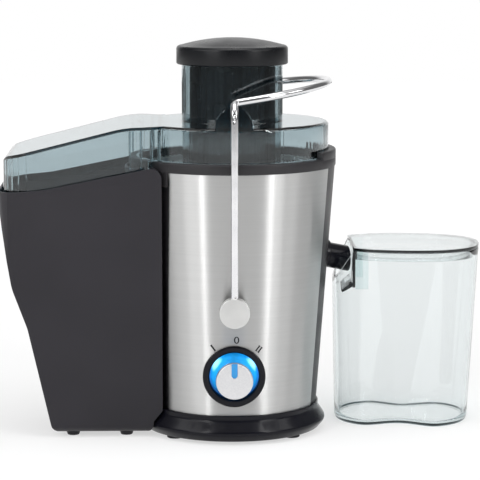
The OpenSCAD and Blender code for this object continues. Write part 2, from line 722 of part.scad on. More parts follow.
spline_w = 4;
spline_h = 2;
module drive_coupling() color(black) difference() {
    translate([0, 0, coupling_z]) linear_extrude(coupling_h) union() {
        circle(r = coupling_r - spline_h);
        for (a = [0:60:300]) rotate(a) translate([coupling_r / 2, -spline_w / 2])
            square([coupling_r / 2, spline_w]);
    }
    translate([0, 0, coupling_z - 1]) cylinder(d = shaft_d, h = coupling_h - 1);
}
module basket_hub() color("#3b3e42") {
    hub_floor = basket_z - hub_plate_t;
    ring(hub_in_r, hub_in_r + hub_t, bowl_in_z + 4, hub_floor + eps);
    translate([0, 0, hub_floor]) cylinder(r = grater_r + mesh_t + 0.5, h = hub_plate_t);
    ring(coupling_r + 0.4, coupling_r + 2.5, coupling_z, hub_floor + eps);
    translate([0, 0, coupling_top]) cylinder(r = coupling_r + 2.5, h = 3);
}
module grater_disc() color(steel) {
    translate([0, 0, basket_z]) cylinder(r = grater_r, h = grater_t);
    for (row = [0:tooth_rows - 1]) for (k = [1:5])
        rotate([0, 0, 360 * row / tooth_rows + 9 * k]) translate([k * grater_r / 6, 0, grater_z - eps])
            linear_extrude(tooth_h) polygon([[-2, -0.6], [2, -0.6], [0, 1.6]]);
}
module filter_mesh() color(chrome) rotate_extrude() polygon([
    [basket_in_r(basket_z), basket_z], [basket_in_r(basket_z) + mesh_t, basket_z],
    [basket_top_r + mesh_t, mesh_top_z], [basket_top_r, mesh_top_z]]);
module basket_rim() color(steel)
    ring(basket_top_r - 1, basket_top_r + rim_w, mesh_top_z, basket_rim_z);

// ---- Bowl ----
seal_w = 1.9;
seal_h = 1.5;
seal_r = lid_r - lid_t / 2;
ear_half = 32;
tab_from = 38.5;
tab_to = 43;
tab_h = 12;
tab_t = bin_gap - 1.2;
module spout_frame() {
    translate([0, 0, spout_z + bowl_floor_r * tan(spout_tilt)])
        rotate([0, 0, spout_turn]) rotate([0, 90 + spout_tilt, 0]) children();
}
module juice_bowl() color(black) difference() {
    union() {
        rotate_extrude() polygon(rounded([
            [tower_r - tower_t, bowl_z, 0], [bowl_floor_r, bowl_z, 3],
            [bowl_top_r, housing_top, 0], [collar_r, housing_top, 0.8],
            [collar_r, collar_z, 1.2], [bowl_top_r - bowl_t, collar_z, 0],
            [bowl_floor_r - bowl_t, bowl_in_z, 4], [tower_r, bowl_in_z, 0],
            [tower_r, tower_top, 0], [tower_r - tower_t, tower_top, 0]]));
        intersection() {
            skin(housing_t, 0, slot_floor, housing_top + 1);
            spout_slot(seat_gap);
        }
        rotate([0, 0, -ear_half]) rotate_extrude(angle = 2 * ear_half) polygon(rounded([
            [lid_r + seat_gap, housing_top + 1, 0], [collar_r - eps, housing_top + 1, 0],
            [collar_r - eps, collar_z + ear_h, 1.5], [lid_r + seat_gap, collar_z + ear_h, 0]]));
        rotate([0, 0, -90 - tab_to]) rotate_extrude(angle = tab_to - tab_from) polygon([
            [body_r(housing_top) + 0.1, housing_top - tab_h], [body_r(housing_top) + tab_t, housing_top - tab_h],
            [body_r(housing_top) + tab_t, housing_top + 1], [body_r(housing_top) + 0.1, housing_top + 1]]);
    }
    ring(seal_r - seal_w / 2, seal_r + seal_w / 2, collar_z - seal_h, collar_z + 1);
    spout_frame() translate([0, 0, bowl_floor_r - 8]) cylinder(d = spout_d + 2 * eps, h = 30);
}
module bowl_seal() color("#c9cdd0")
    ring(seal_r - seal_w / 2, seal_r + seal_w / 2, collar_z - seal_h, collar_z);
module spout() color(black) difference() {
    union() {
        spout_frame() translate([0, 0, bowl_floor_r - 3]) cylinder(d = spout_d, h = spout_reach);
        difference() {
            spout_frame() translate([0, 0, bowl_floor_r])
                cylinder(d = spout_d + 3.6, h = body_r(spout_z) - bowl_floor_r + 4.5);
            body_cone(eps, slot_floor - 20, housing_top);
        }
    }
    spout_frame() translate([0, 0, bowl_floor_r - 4])
        cylinder(d = spout_d - 2 * spout_t, h = 2 * spout_reach);
    rotate([0, 0, spout_turn]) translate([spout_reach, -spout_d, 0])
        cube([spout_reach, 2 * spout_d, housing_top]);
}

// ---- Lid ----
// The bin's outline in X and Z, which the lid's cover follows.
bin_left = -collar_r - bin_len;
bin_floor_left = bin_left + 45;
bin_hip = [bin_left + 25, 97, 40];
bin_shoulder = [bin_left + 12.5, 132, 60];
rim_left_z = housing_top - 17.5;
rim_knee_x = bin_left + 40;
rim_knee_z = housing_top - 14;
rim_right_z = housing_top + 5.8;
cover_half = bin_half - bin_t - 1.2;
cover_left = bin_left + bin_t + skirt_gap;
cover_end_z = lid_z - 25.5;
waist_x = -0.72 * lid_r;
waist_y = sqrt(lid_r * lid_r - waist_x * waist_x);
cover_knee_x = waist_x - 30.2;
bin_right = waist_x - 0.7;
bin_clear_r = collar_r + bin_gap;
function cover_plan() = [
    [waist_x + 12, waist_y - 8, 0], [waist_x - 2, waist_y - 0.5, 5], [waist_x - 18, cover_half, 12],
    [cover_left, cover_half, 28], [cover_left, -cover_half, 28], [waist_x - 18, -cover_half, 12],
    [waist_x - 2, -waist_y + 0.5, 5], [waist_x + 12, 8 - waist_y, 0]];
function cover_side(drop) = [
    [cover_left - 1, rim_left_z - skirt_drop - drop, 0],
    [rim_knee_x, rim_knee_z - skirt_drop - drop, 60],
    [waist_x + 14, rim_right_z - skirt_drop - drop, 0],
    [waist_x + 14, lid_z, 0], [cover_knee_x, lid_z, 100],
    [cover_left + 3, cover_end_z, 8], [cover_left - 1, cover_end_z - 6, 0]];
module cover_block(t, drop) intersection() {
    translate([0, 0, housing_top - 60]) linear_extrude(120) polygon(rounded(inset(cover_plan(), t)));
    along_y(3 * bin_half) polygon(rounded(inset(cover_side(drop), t)));
}
// Height of the bail's loop over the lugs, and the lugs' top just under it.
loop_z = lid_z + 21.6;
lug_top = loop_z - rod_d / 2 - seat_gap;
module lug() translate([0, -lid_r + 0.4, lid_z - 1]) rotate([90, 0, 180]) {
    lift = lug_top - lid_z - lug_r;
    linear_extrude(lug_t) {
        translate([0, lift + 1]) circle(r = lug_r);
        translate([-lug_r, 0]) square([2 * lug_r, lift + 1]);
    }
}
module lid_cover() color(clear_teal) difference() {
    union() {
        rotate_extrude() polygon(rounded([
            [0, collar_z, 0], [lid_r, collar_z, 0], [lid_r, lid_z, lid_round], [0, lid_z, 0]]));
        difference() {
            cover_block(0, 0);
            translate([0, 0, housing_top - 60]) cylinder(r = bin_clear_r + bin_t + 0.5, h = 60 + collar_h + seat_gap);
        }
        intersection() {
            for (m = [0, 1]) mirror([0, m, 0]) lug();
            cylinder(r = lid_r, h = 400);
        }
        translate([0, 0, chute_bottom]) cylinder(r = chute_r, h = chute_top - chute_bottom);
    }
    difference() {
        union() {
            translate([0, 0, collar_z - 1]) cylinder(r = lid_r - lid_t, h = lid_h + 1 - lid_t);
            cover_block(lid_t, 30);
        }
        translate([0, 0, chute_bottom - 1]) cylinder(r = chute_r, h = lid_h + chute_top);
    }
    translate([0, 0, chute_bottom - 1]) cylinder(r = chute_r - lid_t, h = chute_top);
}

// ---- Pulp bin ----
function bin_plan() = [
    [bin_left, -bin_half - 4, 34], [bin_right, -bin_half - 4, 0],
    [bin_right, bin_half + 4, 0], [bin_left, bin_half + 4, 34]];
function bin_side(up) = [
    [bin_floor_left, bin_foot_h, 8], [bin_right, bin_foot_h, 0],
    [bin_right, rim_right_z + up, 9], [rim_knee_x, rim_knee_z + up, 60],
    [left_wall_x(rim_left_z + up), rim_left_z + up, 0], bin_shoulder, bin_hip];
function left_wall_x(z) = bin_shoulder[0]
    + (bin_left - bin_shoulder[0]) * (z - bin_shoulder[1]) / (rim_left_z - bin_shoulder[1]);
function bin_half_at(z) = bin_floor_half
    + (bin_half - bin_floor_half) * (z - bin_foot_h) / (rim_left_z - bin_foot_h);
function bin_front() = [
    [-bin_half_at(bin_foot_h), bin_foot_h, 9], [bin_half_at(bin_foot_h), bin_foot_h, 9],
    [bin_half_at(housing_top + 60), housing_top + 60, 0],
    [-bin_half_at(housing_top + 60), housing_top + 60, 0]];
module bin_block(t, up) difference() {
    intersection() {
        linear_extrude(housing_top + 60) polygon(rounded(inset(bin_plan(), t)));
        along_y(3 * bin_half) polygon(rounded(inset(bin_side(up), t)));
        along_x(bin_left - 5, bin_right + 5) polygon(rounded(inset(bin_front(), t)));
    }
    body_cone(bin_gap + t, -5, housing_top + 70);
    translate([0, 0, -5]) cylinder(r = plinth_r + seat_gap + t, h = 5 + plinth_neck_z - 6);
    translate([0, 0, plinth_neck_z - 6])
        cylinder(r1 = plinth_r + seat_gap + t, r2 = body_r(plinth_h) + t + lip_t, h = 12);
}
module pulp_bin() color(anthracite) {
    difference() {
        bin_block(0, 0);
        bin_block(bin_t, 40);
    }
    for (in = [62, 108]) for (sy = [-1, 1])
        translate([bin_left + in, sy * (bin_floor_half - 14), 0])
            cylinder(r1 = 5, r2 = 6.5, h = bin_foot_h + 0.5);
}

// ---- Pusher ----
guide_r = chute_r - lid_t - pusher_gap;
pusher_r = guide_r - guide_h;
cap_r = chute_r + cap_lap;
pusher_z = chute_bottom + 0.5;
cap_z = chute_top + seat_gap;
cap_socket = 7.5;
module pusher_sleeve() color("#2c2d31") difference() {
    union() {
        translate([0, 0, pusher_z]) cylinder(r = pusher_r, h = cap_z + cap_socket - pusher_z);
        for (i = [0:guides - 1]) rotate([0, 0, 360 * i / guides])
            translate([-guide_t / 2, 0, pusher_z]) cube([guide_t, guide_r, chute_top - pusher_z]);
    }
    translate([0, 0, pusher_z + pusher_t]) cylinder(r = pusher_r - pusher_t, h = chute_top);
}
module pusher_cap() color(black) difference() {
    rotate_extrude() polygon(concat(
        [[0, cap_z], [cap_r - 0.8, cap_z], [cap_r, cap_z + 0.8]],
        [for (a = [0:10:90]) [cap_r - 3 + 3 * cos(a), cap_z + cap_h - cap_dome - 3 + 3 * sin(a)]],
        [for (i = [1:8]) let (w = i / 8) [(cap_r - 3) * (1 - w), cap_z + cap_h - cap_dome * pow(1 - w, 2)]]));
    translate([0, 0, cap_z - 1]) cylinder(r = pusher_r, h = cap_socket + 1);
}

// ---- Bail ----
elbow = 8;
leg_end_z = pivot_z + disc_r - 5;
function bail_path() = concat(
    [[0, -leg_y, leg_end_z], [0, -leg_y, loop_z - elbow - 4]],
    [for (a = [15:15:75]) [0, -leg_y + (leg_y - loop_r) * (1 - cos(a)), loop_z - elbow - 4 + (elbow + 4) * sin(a)]],
    [for (a = [-90:6:90]) [loop_r * cos(a), loop_r * sin(a), loop_z + loop_r * cos(a) * tan(loop_rise)]],
    [for (a = [75:-15:15]) [0, leg_y - (leg_y - loop_r) * (1 - cos(a)), loop_z - elbow - 4 + (elbow + 4) * sin(a)]],
    [[0, leg_y, loop_z - elbow - 4], [0, leg_y, leg_end_z]]);
module bail_rod() color(chrome) swept_rod(bail_path(), rod_d / 2, 16);
module pivot_disc_front() color(chrome) difference() {
    translate([0, -leg_y - disc_t / 2, pivot_z]) rotate([-90, 0, 0]) cylinder(r = disc_r, h = disc_t);
    translate([0, -leg_y, leg_end_z]) cylinder(d = rod_d, h = disc_r);
    translate([0, -leg_y, pivot_z]) rotate([-90, 0, 0]) cylinder(d = pin_d - 2, h = disc_t);
}
module pivot_disc_rear() mirror([0, 1, 0]) pivot_disc_front();
clip_y = bush_in_y - 0.4;
clip_t = 1.5;
pin_in_y = clip_y - clip_t - 2;
module pivot_pin_front() color("#8d9094") {
    translate([0, -leg_y, pivot_z]) rotate([-90, 0, 0]) cylinder(d = pin_d - 2, h = leg_y - pin_in_y);
    translate([0, -leg_y + disc_t / 2, pivot_z]) rotate([-90, 0, 0])
        cylinder(d = pin_d, h = leg_y - disc_t / 2 - clip_y);
}
module pivot_pin_rear() mirror([0, 1, 0]) pivot_pin_front();
module pin_clip_front() color(black) translate([0, -clip_y, pivot_z]) rotate([-90, 0, 0])
    ring(pin_d / 2 - 1, pin_d / 2 + 3, 0, clip_t);
module pin_clip_rear() mirror([0, 1, 0]) pin_clip_front();
// A switch that the housing carries beside the rear pivot.
module interlock_switch() color("#3c3f45")
    translate([8, wall_in_r(deck_z) - 18, deck_z - deck_t - 16]) cube([20, 7, 16]);

// ---- Jug ----
mouth_x = spout_reach + mouth_gap;
jug_x = mouth_x + jug_len / 2 - mouth_set;
jug_power = 2.4;
waist_span = 0.62;
jug_floor_t = 3;
jug_lid_z = jug_h + seat_gap;
skirt_clear = 1.7;
skirt_t = 1.8;
web_t = 2.2;
web_half = 35;
toe_half = 24;
// Height of the spout's underside at its end, and of the separator's end below it.
spout_low_z = spout_z - (spout_reach / cos(spout_turn) - bowl_floor_r) * tan(spout_tilt)
    - spout_d / 2 / cos(spout_tilt);
separator_z = spout_low_z - separator_drop;
mouth_low_x = mouth_x - 19.1;
mouth_low_z = separator_z - 2.3;

// Half width at a distance along the jug, for a half length, half width and waist.
function jug_half(s, l, w, waist) = let (u = min(abs(s) / l, 1))
    w * pow(1 - pow(u, jug_power), 1 / jug_power)
    - (u < waist_span ? waist * pow(cos(90 * u / waist_span), 2) : 0);
function jug_outline(l, w, waist) =
    concat([for (a = [0:7.5:172.5]) [l * cos(a), jug_half(l * cos(a), l, w, waist), 0]],
           [for (a = [180:7.5:352.5]) [l * cos(a), -jug_half(l * cos(a), l, w, waist), 0]]);
function thin(pts, t) = [for (p = inset(pts, t)) xy(p)];
// The waisted outline at the floor, and the plain oval at the rim.
function floor_outline(t) = thin(jug_outline(jug_len / 2, jug_wide / 2, jug_waist), t);
function rim_outline(t) =
    [for (p = thin(jug_outline(jug_len / 2 * jug_flare_x, jug_wide / 2 * jug_flare_y, 0), t))
        [p[0] + jug_lean, p[1]]];

// A solid between two level outlines with the same number of points.
module lofted(low, high, h) {
    n = len(low);
    points = concat([for (p = low) [p[0], p[1], 0]], [for (p = high) [p[0], p[1], h]]);
    sides = [for (i = [0:n - 1]) let (j = (i + 1) % n)
        for (tri = [[i, i + n, j], [j, i + n, j + n]]) tri];
    polyhedron(points, concat([[for (i = [0:n - 1]) i]], sides, [[for (i = [n - 1:-1:0]) i + n]]));
}
module jug_frame() translate([jug_x, jug_y, 0]) rotate([0, 0, jug_turn]) children();
module jug_block(t, z0) jug_frame() translate([0, 0, z0])
    lofted(floor_outline(t), rim_outline(t), jug_h);
module rim_block(t, z0, h) jug_frame() translate([0, 0, z0])
    linear_extrude(h) polygon(rim_outline(t));
// Extrudes an outline in X and Z across the jug's mouth.
module across_jug(half) translate([0, jug_y, 0]) along_y(2 * half) children();

module jug_body() color("#c8d6d6") difference() {
    jug_block(0, 0);
    jug_block(jug_t, jug_floor_t);
    across_jug(jug_wide) polygon([
        [mouth_x, jug_h + eps], [mouth_low_x, mouth_low_z], [0, mouth_low_z],
        [0, 2 * jug_h], [mouth_x, 2 * jug_h]]);
}
module jug_lid() color("#c8d6d6") {
    difference() {
        union() {
            rim_block(0, jug_lid_z, jug_lid_t);
            difference() {
                rim_block(jug_t + skirt_clear, jug_lid_z - jug_skirt, jug_skirt + jug_lid_t / 2);
                rim_block(jug_t + skirt_clear + skirt_t, jug_lid_z - jug_skirt - 1, jug_skirt + 1);
            }
        }
        across_jug(jug_wide) square([mouth_x, 2 * jug_h]);
    }
    across_jug(web_half) translate([mouth_x, separator_z])
        square([web_t, jug_lid_z - separator_z + jug_lid_t / 2]);
    across_jug(toe_half) polygon([
        [mouth_x, separator_z + 3], [mouth_x - 9, separator_z - 4],
        [mouth_x - 8, separator_z - 6], [mouth_x + web_t, separator_z]]);
}

base_plinth();
foot(0);  // foot_1
foot(1);  // foot_2
foot(2);  // foot_3
foot(3);  // foot_4
base_screws();
housing_shell();
steel_panel();
knob_bezel();
light_ring();
rotary_switch();
lower_bracket();
upper_bracket();
lower_bearing();
upper_bearing();
stator_core();
field_coil_1();
field_coil_2();
brush_1();
brush_2();
motor_mount(0);  // motor_mount_1
motor_mount(1);  // motor_mount_2
motor_mount(2);  // motor_mount_3
motor_mount(3);  // motor_mount_4
motor_screws();
control_board();
interlock_switch();
bail_bush_front();
bail_bush_rear();
cord_gland();
juice_bowl();
bowl_seal();
spout();
lid_cover();
pulp_bin();
motor_shaft();
rotor_core();
commutator();
cooling_fan();
drive_coupling();
basket_hub();
grater_disc();
filter_mesh();
basket_rim();
bail_rod();
pivot_disc_front();
pivot_disc_rear();
pivot_pin_front();
pivot_pin_rear();
pin_clip_front();
pin_clip_rear();
knob_skirt();
knob_cap();
knob_pointer();
knob_shaft();
pusher_sleeve();
pusher_cap();
jug_body();
jug_lid();
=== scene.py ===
# %% [markdown]
# # Dressing a centrifugal juicer
# The juicer exists already as exact solids: a steel-fronted housing, a clear
# lid with its feed chute, a bin for the pulp on the left and a jug for the
# juice on the right. This lesson gives those solids their finishes, and adds
# the pieces whose beauty lies in detail: the chrome bail, the jug's moulded
# walls, the dial's marks and the perforated basket.
#
# Everything is in metres, in the frame of the solids. The basket turns about
# the Z axis, the front with the switch faces -Y, and the table is at z = 0.

# %% Load the solids
import json
import math

import bmesh
import bpy
from mathutils import Matrix, Vector


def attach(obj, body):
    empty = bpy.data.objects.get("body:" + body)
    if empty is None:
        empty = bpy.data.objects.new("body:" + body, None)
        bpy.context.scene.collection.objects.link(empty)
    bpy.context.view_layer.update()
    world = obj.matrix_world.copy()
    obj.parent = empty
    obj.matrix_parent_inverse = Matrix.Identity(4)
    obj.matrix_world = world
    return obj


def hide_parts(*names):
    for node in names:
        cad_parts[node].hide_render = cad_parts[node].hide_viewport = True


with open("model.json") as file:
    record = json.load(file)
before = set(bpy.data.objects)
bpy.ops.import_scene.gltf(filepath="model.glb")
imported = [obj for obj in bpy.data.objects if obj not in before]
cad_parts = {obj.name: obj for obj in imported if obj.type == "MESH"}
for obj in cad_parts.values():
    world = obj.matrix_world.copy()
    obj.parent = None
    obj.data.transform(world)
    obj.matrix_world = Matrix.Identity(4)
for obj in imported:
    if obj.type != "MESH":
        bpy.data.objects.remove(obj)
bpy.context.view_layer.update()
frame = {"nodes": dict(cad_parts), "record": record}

# %% [markdown]
# ## The camera first
# A long lens two metres away flattens the juicer as a catalogue picture does.
# The camera stands a little above the lid and looks slightly down, so the lid
# shows as a thin ellipse. Its lens is given by the field of view, not by eye.

# %% Camera
scene = bpy.context.scene
SENSOR = 0.036
FOCAL_IN_FRAMES = 2324 / 480
CAMERA_PLACE = (-0.0421, -1.9996, 0.452)
LOOKING_DOWN, LOOKING_RIGHT = math.radians(8.18), math.radians(1.4)
lens = bpy.data.cameras.new("catalogue_lens")
lens.sensor_fit = "HORIZONTAL"
lens.sensor_width = SENSOR * 1000
lens.lens = SENSOR * 1000 * FOCAL_IN_FRAMES
lens.dof.use_dof = False
camera = bpy.data.objects.new("catalogue_camera", lens)
camera.location = CAMERA_PLACE
camera.rotation_euler = (math.pi / 2 - LOOKING_DOWN, 0, -LOOKING_RIGHT)
scene.collection.objects.link(camera)
scene.camera = camera
scene.view_settings.view_transform = "Standard"
print("lens", round(lens.lens, 1), "mm at", tuple(round(v, 3) for v in camera.location))

# %% [markdown]
# ## A white studio
# The floor and the air around are white to the eye and through clear plastic.
# The light that falls on the juicer is set apart from that white, so that a
# grey stays the grey it was mixed as. Reflections see a studio: a white card
# straight behind the juicer, a pale ceiling, and darkness between them.
# Polished parts need something dark to mirror, or they turn into paper. Clear
# edges that bend the view steeply upwards find the dim upper room as well,
# which draws their outlines.

# %% World
def link(tree, out, into):
    tree.links.new(out, into)


def put(tree, kind, **sockets):
    """Adds a node and fills its sockets by name, with _ for a space."""
    node = tree.nodes.new("ShaderNode" + kind)
    for name, value in sockets.items():
        node.inputs[name.replace("_", " ")].default_value = value
    return node


def maths(tree, kind, a, b=None):
    """A Math node on two sockets or numbers."""
    node = tree.nodes.new("ShaderNodeMath")
    node.operation = kind
    for socket, value in zip(node.inputs, (a, b)):
        if value is None:
            continue
        if isinstance(value, (int, float)):
            socket.default_value = value
        else:
            link(tree, value, socket)
    return node.outputs[0]


def ramped(tree, value, start, end, low=0.0, high=1.0):
    """A value spread from one range to another, held at both ends."""
    node = put(tree, "MapRange", From_Min=start, From_Max=end, To_Min=low, To_Max=high)
    link(tree, value, node.inputs["Value"])
    return node.outputs[0]


def seen_directly(tree):
    """1 for rays from the eye, a mirror or through clear plastic; then 1 for
    rays that were mirrored on their way; then the ray's own facts."""
    path = tree.nodes.new("ShaderNodeLightPath")
    either = maths(tree, "MAXIMUM", path.outputs["Is Camera Ray"],
                   path.outputs["Is Transmission Ray"])
    mirrored = maths(tree, "GREATER_THAN", path.outputs["Glossy Depth"], 0.5)
    return maths(tree, "MAXIMUM", either, path.outputs["Is Glossy Ray"]), mirrored, path


AMBIENT = 0.62
ROOM_DARK = 0.16
world = bpy.data.worlds.new("white_studio")
scene.world = world
world.use_nodes = True
air = world.node_tree
air.nodes.clear()
shown, mirrored, path = seen_directly(air)
where = air.nodes.new("ShaderNodeTexCoord")
split = air.nodes.new("ShaderNodeSeparateXYZ")
link(air, where.outputs["Generated"], split.inputs[0])
card = ramped(air, split.outputs["Y"], 0.72, 0.92, ROOM_DARK, 1.0)
ceiling = ramped(air, split.outputs["Z"], 0.62, 0.88, ROOM_DARK, 0.85)
ambient = put(air, "Background", Color=(1, 1, 1, 1), Strength=AMBIENT)
seen_through = ramped(air, split.outputs["Z"], 0.1, 0.4, 1.0, 0.3)
eye = maths(air, "MAXIMUM", path.outputs["Is Camera Ray"], seen_through)
white = put(air, "Background", Color=(1, 1, 1, 1))
link(air, eye, white.inputs["Strength"])
studio = put(air, "Background", Color=(1, 1, 1, 1))
link(air, maths(air, "MAXIMUM", card, ceiling), studio.inputs["Strength"])
straight = air.nodes.new("ShaderNodeMixShader")
link(air, mirrored, straight.inputs[0])
link(air, white.outputs[0], straight.inputs[1])
link(air, studio.outputs[0], straight.inputs[2])
either = air.nodes.new("ShaderNodeMixShader")
link(air, shown, either.inputs[0])
link(air, ambient.outputs[0], either.inputs[1])
link(air, straight.outputs[0], either.inputs[2])
sky = air.nodes.new("ShaderNodeOutputWorld")
link(air, either.outputs[0], sky.inputs["Surface"])
print("world: ambient", AMBIENT, "white 1.0")

# %% [markdown]
# ## The paper floor
# The floor is white paper. For the light that bounces off it to the juicer it
# is plain matt white. Rays that see it directly get part of that white as
# glow, so that it is as white as the air all the way to the horizon, and the
# rest as lit paper, which takes the juicer's soft shadow. In reflections the
# paper ends two metres away, as a real roll of paper does.

# %% Floor
FLOOR_HALF = 4.0
PAPER_END = (2.6, 3.1)
floor_mesh = bpy.data.meshes.new("studio_floor")
floor_mesh.from_pydata(
    [(x * FLOOR_HALF, y * FLOOR_HALF, 0) for x, y in ((-1, -1), (1, -1), (1, 1), (-1, 1))],
    [], [(0, 1, 2, 3)])
floor = bpy.data.objects.new("studio_floor", floor_mesh)
scene.collection.objects.link(floor)
paper = bpy.data.materials.new("white_paper")
paper.use_nodes = True
sheet = paper.node_tree
sheet.nodes.clear()
sheet_shown, sheet_mirrored, _ = seen_directly(sheet)


def joined(tree, kind, *shaders):
    """An Add or Mix shader over its inputs; a Mix takes its share first."""
    node = tree.nodes.new("ShaderNode" + kind)
    for shader, socket in zip(shaders, node.inputs):
        link(tree, shader, socket)
    return node.outputs[0]


span = sheet.nodes.new("ShaderNodeVectorMath")
span.operation = "LENGTH"
link(sheet, sheet.nodes.new("ShaderNodeTexCoord").outputs["Object"], span.inputs[0])
bounce = put(sheet, "BsdfDiffuse", Color=(0.93, 0.93, 0.93, 1))
lit_paper = put(sheet, "BsdfDiffuse", Color=(0.36, 0.36, 0.36, 1))
glow = put(sheet, "Emission", Color=(1, 1, 1, 1))
link(sheet, ramped(sheet, span.outputs["Value"], 0.3, 1.8, 0.58, 0.80), glow.inputs["Strength"])
dark = put(sheet, "Emission", Color=(1, 1, 1, 1), Strength=ROOM_DARK)
white_paper = joined(sheet, "AddShader", lit_paper.outputs[0], glow.outputs[0])
paper_seen = joined(sheet, "MixShader", sheet_shown, bounce.outputs[0], white_paper)
beyond = ramped(sheet, span.outputs["Value"], *PAPER_END)
gone = maths(sheet, "MULTIPLY", beyond, sheet_mirrored)
paper_ends = joined(sheet, "MixShader", gone, paper_seen, dark.outputs[0])
link(sheet, paper_ends, sheet.nodes.new("ShaderNodeOutputMaterial").inputs["Surface"])
floor_mesh.materials.append(paper)
print("floor", 2 * FLOOR_HALF, "m square")

# %% [markdown]
# ## Lamps
# To either side of the camera hang a broad soft strip and, beside it, a lamp
# as thin as a line, with their lower ends above the lid. A brushed cylinder
# draws each strip out into a soft band from top to bottom and each line into
# the bright core of that band, which is how steel is told from grey paint.
# Large soft boxes above and beside them fill in the shapes of the plastic.

# %% Lamps
AIM = Vector((0, 0, 0.16))


def soft_box(name, azimuth, distance, height, width, tall, watts):
    """An area lamp that looks at the juicer. Azimuth 0 is the camera's side."""
    lamp = bpy.data.lights.new(name, "AREA")
    lamp.shape = "RECTANGLE"
    lamp.size = width
    lamp.size_y = tall
    lamp.energy = watts
    holder = bpy.data.objects.new(name, lamp)
    turn = math.radians(azimuth)
    holder.location = (distance * math.sin(turn), -distance * math.cos(turn), height)
    holder.rotation_euler = (AIM - holder.location).to_track_quat("-Z", "Y").to_euler()
    scene.collection.objects.link(holder)
    return holder


lamps = [
    soft_box("line_left", -35.5, 1.7, 0.9, 0.05, 1.3, 5.5),
    soft_box("line_right", 43.5, 1.7, 0.9, 0.05, 1.3, 5.5),
    soft_box("strip_left", -49, 1.75, 0.9, 0.55, 1.3, 5),
    soft_box("strip_right", 53, 1.75, 0.9, 0.40, 1.3, 4),
    soft_box("box_above", 8, 0.35, 1.75, 1.3, 1.1, 12),
    soft_box("box_left", -72, 1.8, 1.2, 0.8, 0.8, 5),
    soft_box("box_right", 75, 1.9, 1.2, 0.7, 0.8, 4),
]
print("lamps:", [lamp.name for lamp in lamps])

# %% [markdown]
# ## Moulded plastic
# Injection-moulded plastic is never one flat colour. The tool leaves a fine
# grain, the gloss drifts a little where the melt cooled unevenly, and the
# pigment is not perfectly mixed. One function makes all the juicer's opaque
# plastics from those three layers; only the numbers differ.

# %% Moulded plastics
def blank(name, roughness, metallic=0.0):
    """A new finish with its shader, ready for its layers."""
    made = bpy.data.materials.new(name)
    made.use_nodes = True
    shader = made.node_tree.nodes["Principled BSDF"]
    shader.inputs["Roughness"].default_value = roughness
    shader.inputs["Metallic"].default_value = metallic
    return made, made.node_tree, shader


def place(tree):
    """Where on the juicer a point is, in metres."""
    return tree.nodes.new("ShaderNodeTexCoord").outputs["Object"]


def cloud(tree, where, scale, detail=2.0, stretch=None):
    """Noise of the given fineness, stretched along an axis if asked."""
    if stretch:
        mapping = put(tree, "Mapping", Scale=stretch)
        link(tree, where, mapping.inputs["Vector"])
        where = mapping.outputs[0]
    node = put(tree, "TexNoise", Scale=scale, Detail=detail)
    link(tree, where, node.inputs["Vector"])
    return node.outputs["Fac"]


def drift(tree, fac, low, high, into):
    """Spreads noise between two values and feeds it to a socket."""
    link(tree, ramped(tree, fac, 0.3, 0.7, low, high), into)


def tint(tree, fac, dark, pale, into):
    """Lets a colour wander between two shades."""
    node = tree.nodes.new("ShaderNodeValToRGB")
    node.color_ramp.elements[0].position = 0.3
    node.color_ramp.elements[0].color = (*dark, 1)
    node.color_ramp.elements[1].position = 0.7
    node.color_ramp.elements[1].color = (*pale, 1)
    link(tree, fac, node.inputs["Fac"])
    link(tree, node.outputs[0], into)


def relief(tree, height, depth, into):
    """Turns noise into a relief of the given depth in metres."""
    node = put(tree, "Bump", Strength=1.0, Distance=depth)
    link(tree, height, node.inputs["Height"])
    link(tree, node.outputs[0], into)


UNEVEN = 0.12


def moulded(name, colour, roughness, grain=900, depth=0.00003, shine=0.5):
    """Opaque moulded plastic with grain, uneven gloss and uneven pigment."""
    made, tree, shader = blank(name, roughness)
    shader.inputs["Specular IOR Level"].default_value = shine
    spot = place(tree)
    dark = [c * (1 - UNEVEN) for c in colour]
    pale = [c * (1 + UNEVEN) for c in colour]
    tint(tree, cloud(tree, spot, 14, 4), dark, pale, shader.inputs["Base Color"])
    drift(tree, cloud(tree, spot, 55, 3), roughness - 0.04, roughness + 0.05,
          shader.inputs["Roughness"])
    relief(tree, cloud(tree, spot, grain), depth, shader.inputs["Normal"])
    return made


finishes = {
    "gloss_black": moulded("gloss_black", (0.005, 0.005, 0.008), 0.20, 260, 0.00001, shine=0.2),
    "black_plastic": moulded("satin_black", (0.021, 0.020, 0.022), 0.40, 1300, 0.00002, shine=0.3),
    "cap_black": moulded("cap_black", (0.0035, 0.004, 0.0055), 0.30, 900, 0.00001, shine=0.3),
    "pusher_black": moulded("pusher_black", (0.008, 0.011, 0.014), 0.25, 300, 0.00001, shine=0.3),
    "anthracite": moulded("bin_anthracite", (0.021, 0.0195, 0.024), 0.42, 1100, shine=0.25),
    "grey_plastic": moulded("grey_plastic", (0.2, 0.21, 0.23), 0.45),
    "rubber": moulded("foot_rubber", (0.014, 0.014, 0.016), 0.75, 1700, 0.00006),
    "silicone": moulded("seal_silicone", (0.62, 0.64, 0.65), 0.5),
    "carbon": moulded("brush_carbon", (0.07, 0.07, 0.075), 0.65, 1500, 0.00005),
    "circuit_board": moulded("board_green", (0.06, 0.22, 0.12), 0.3),
}
print("plastics:", sorted(finishes))

# %% [markdown]
# ## Brushed steel
# The front is one thin sheet, brushed round the body, so its scratches run
# level. Light spreads across scratches and hardly at all along them: every
# lamp becomes an upright streak. The noise is laid out round the axis, by
# angle and height, and stretched a hundredfold along the scratches.

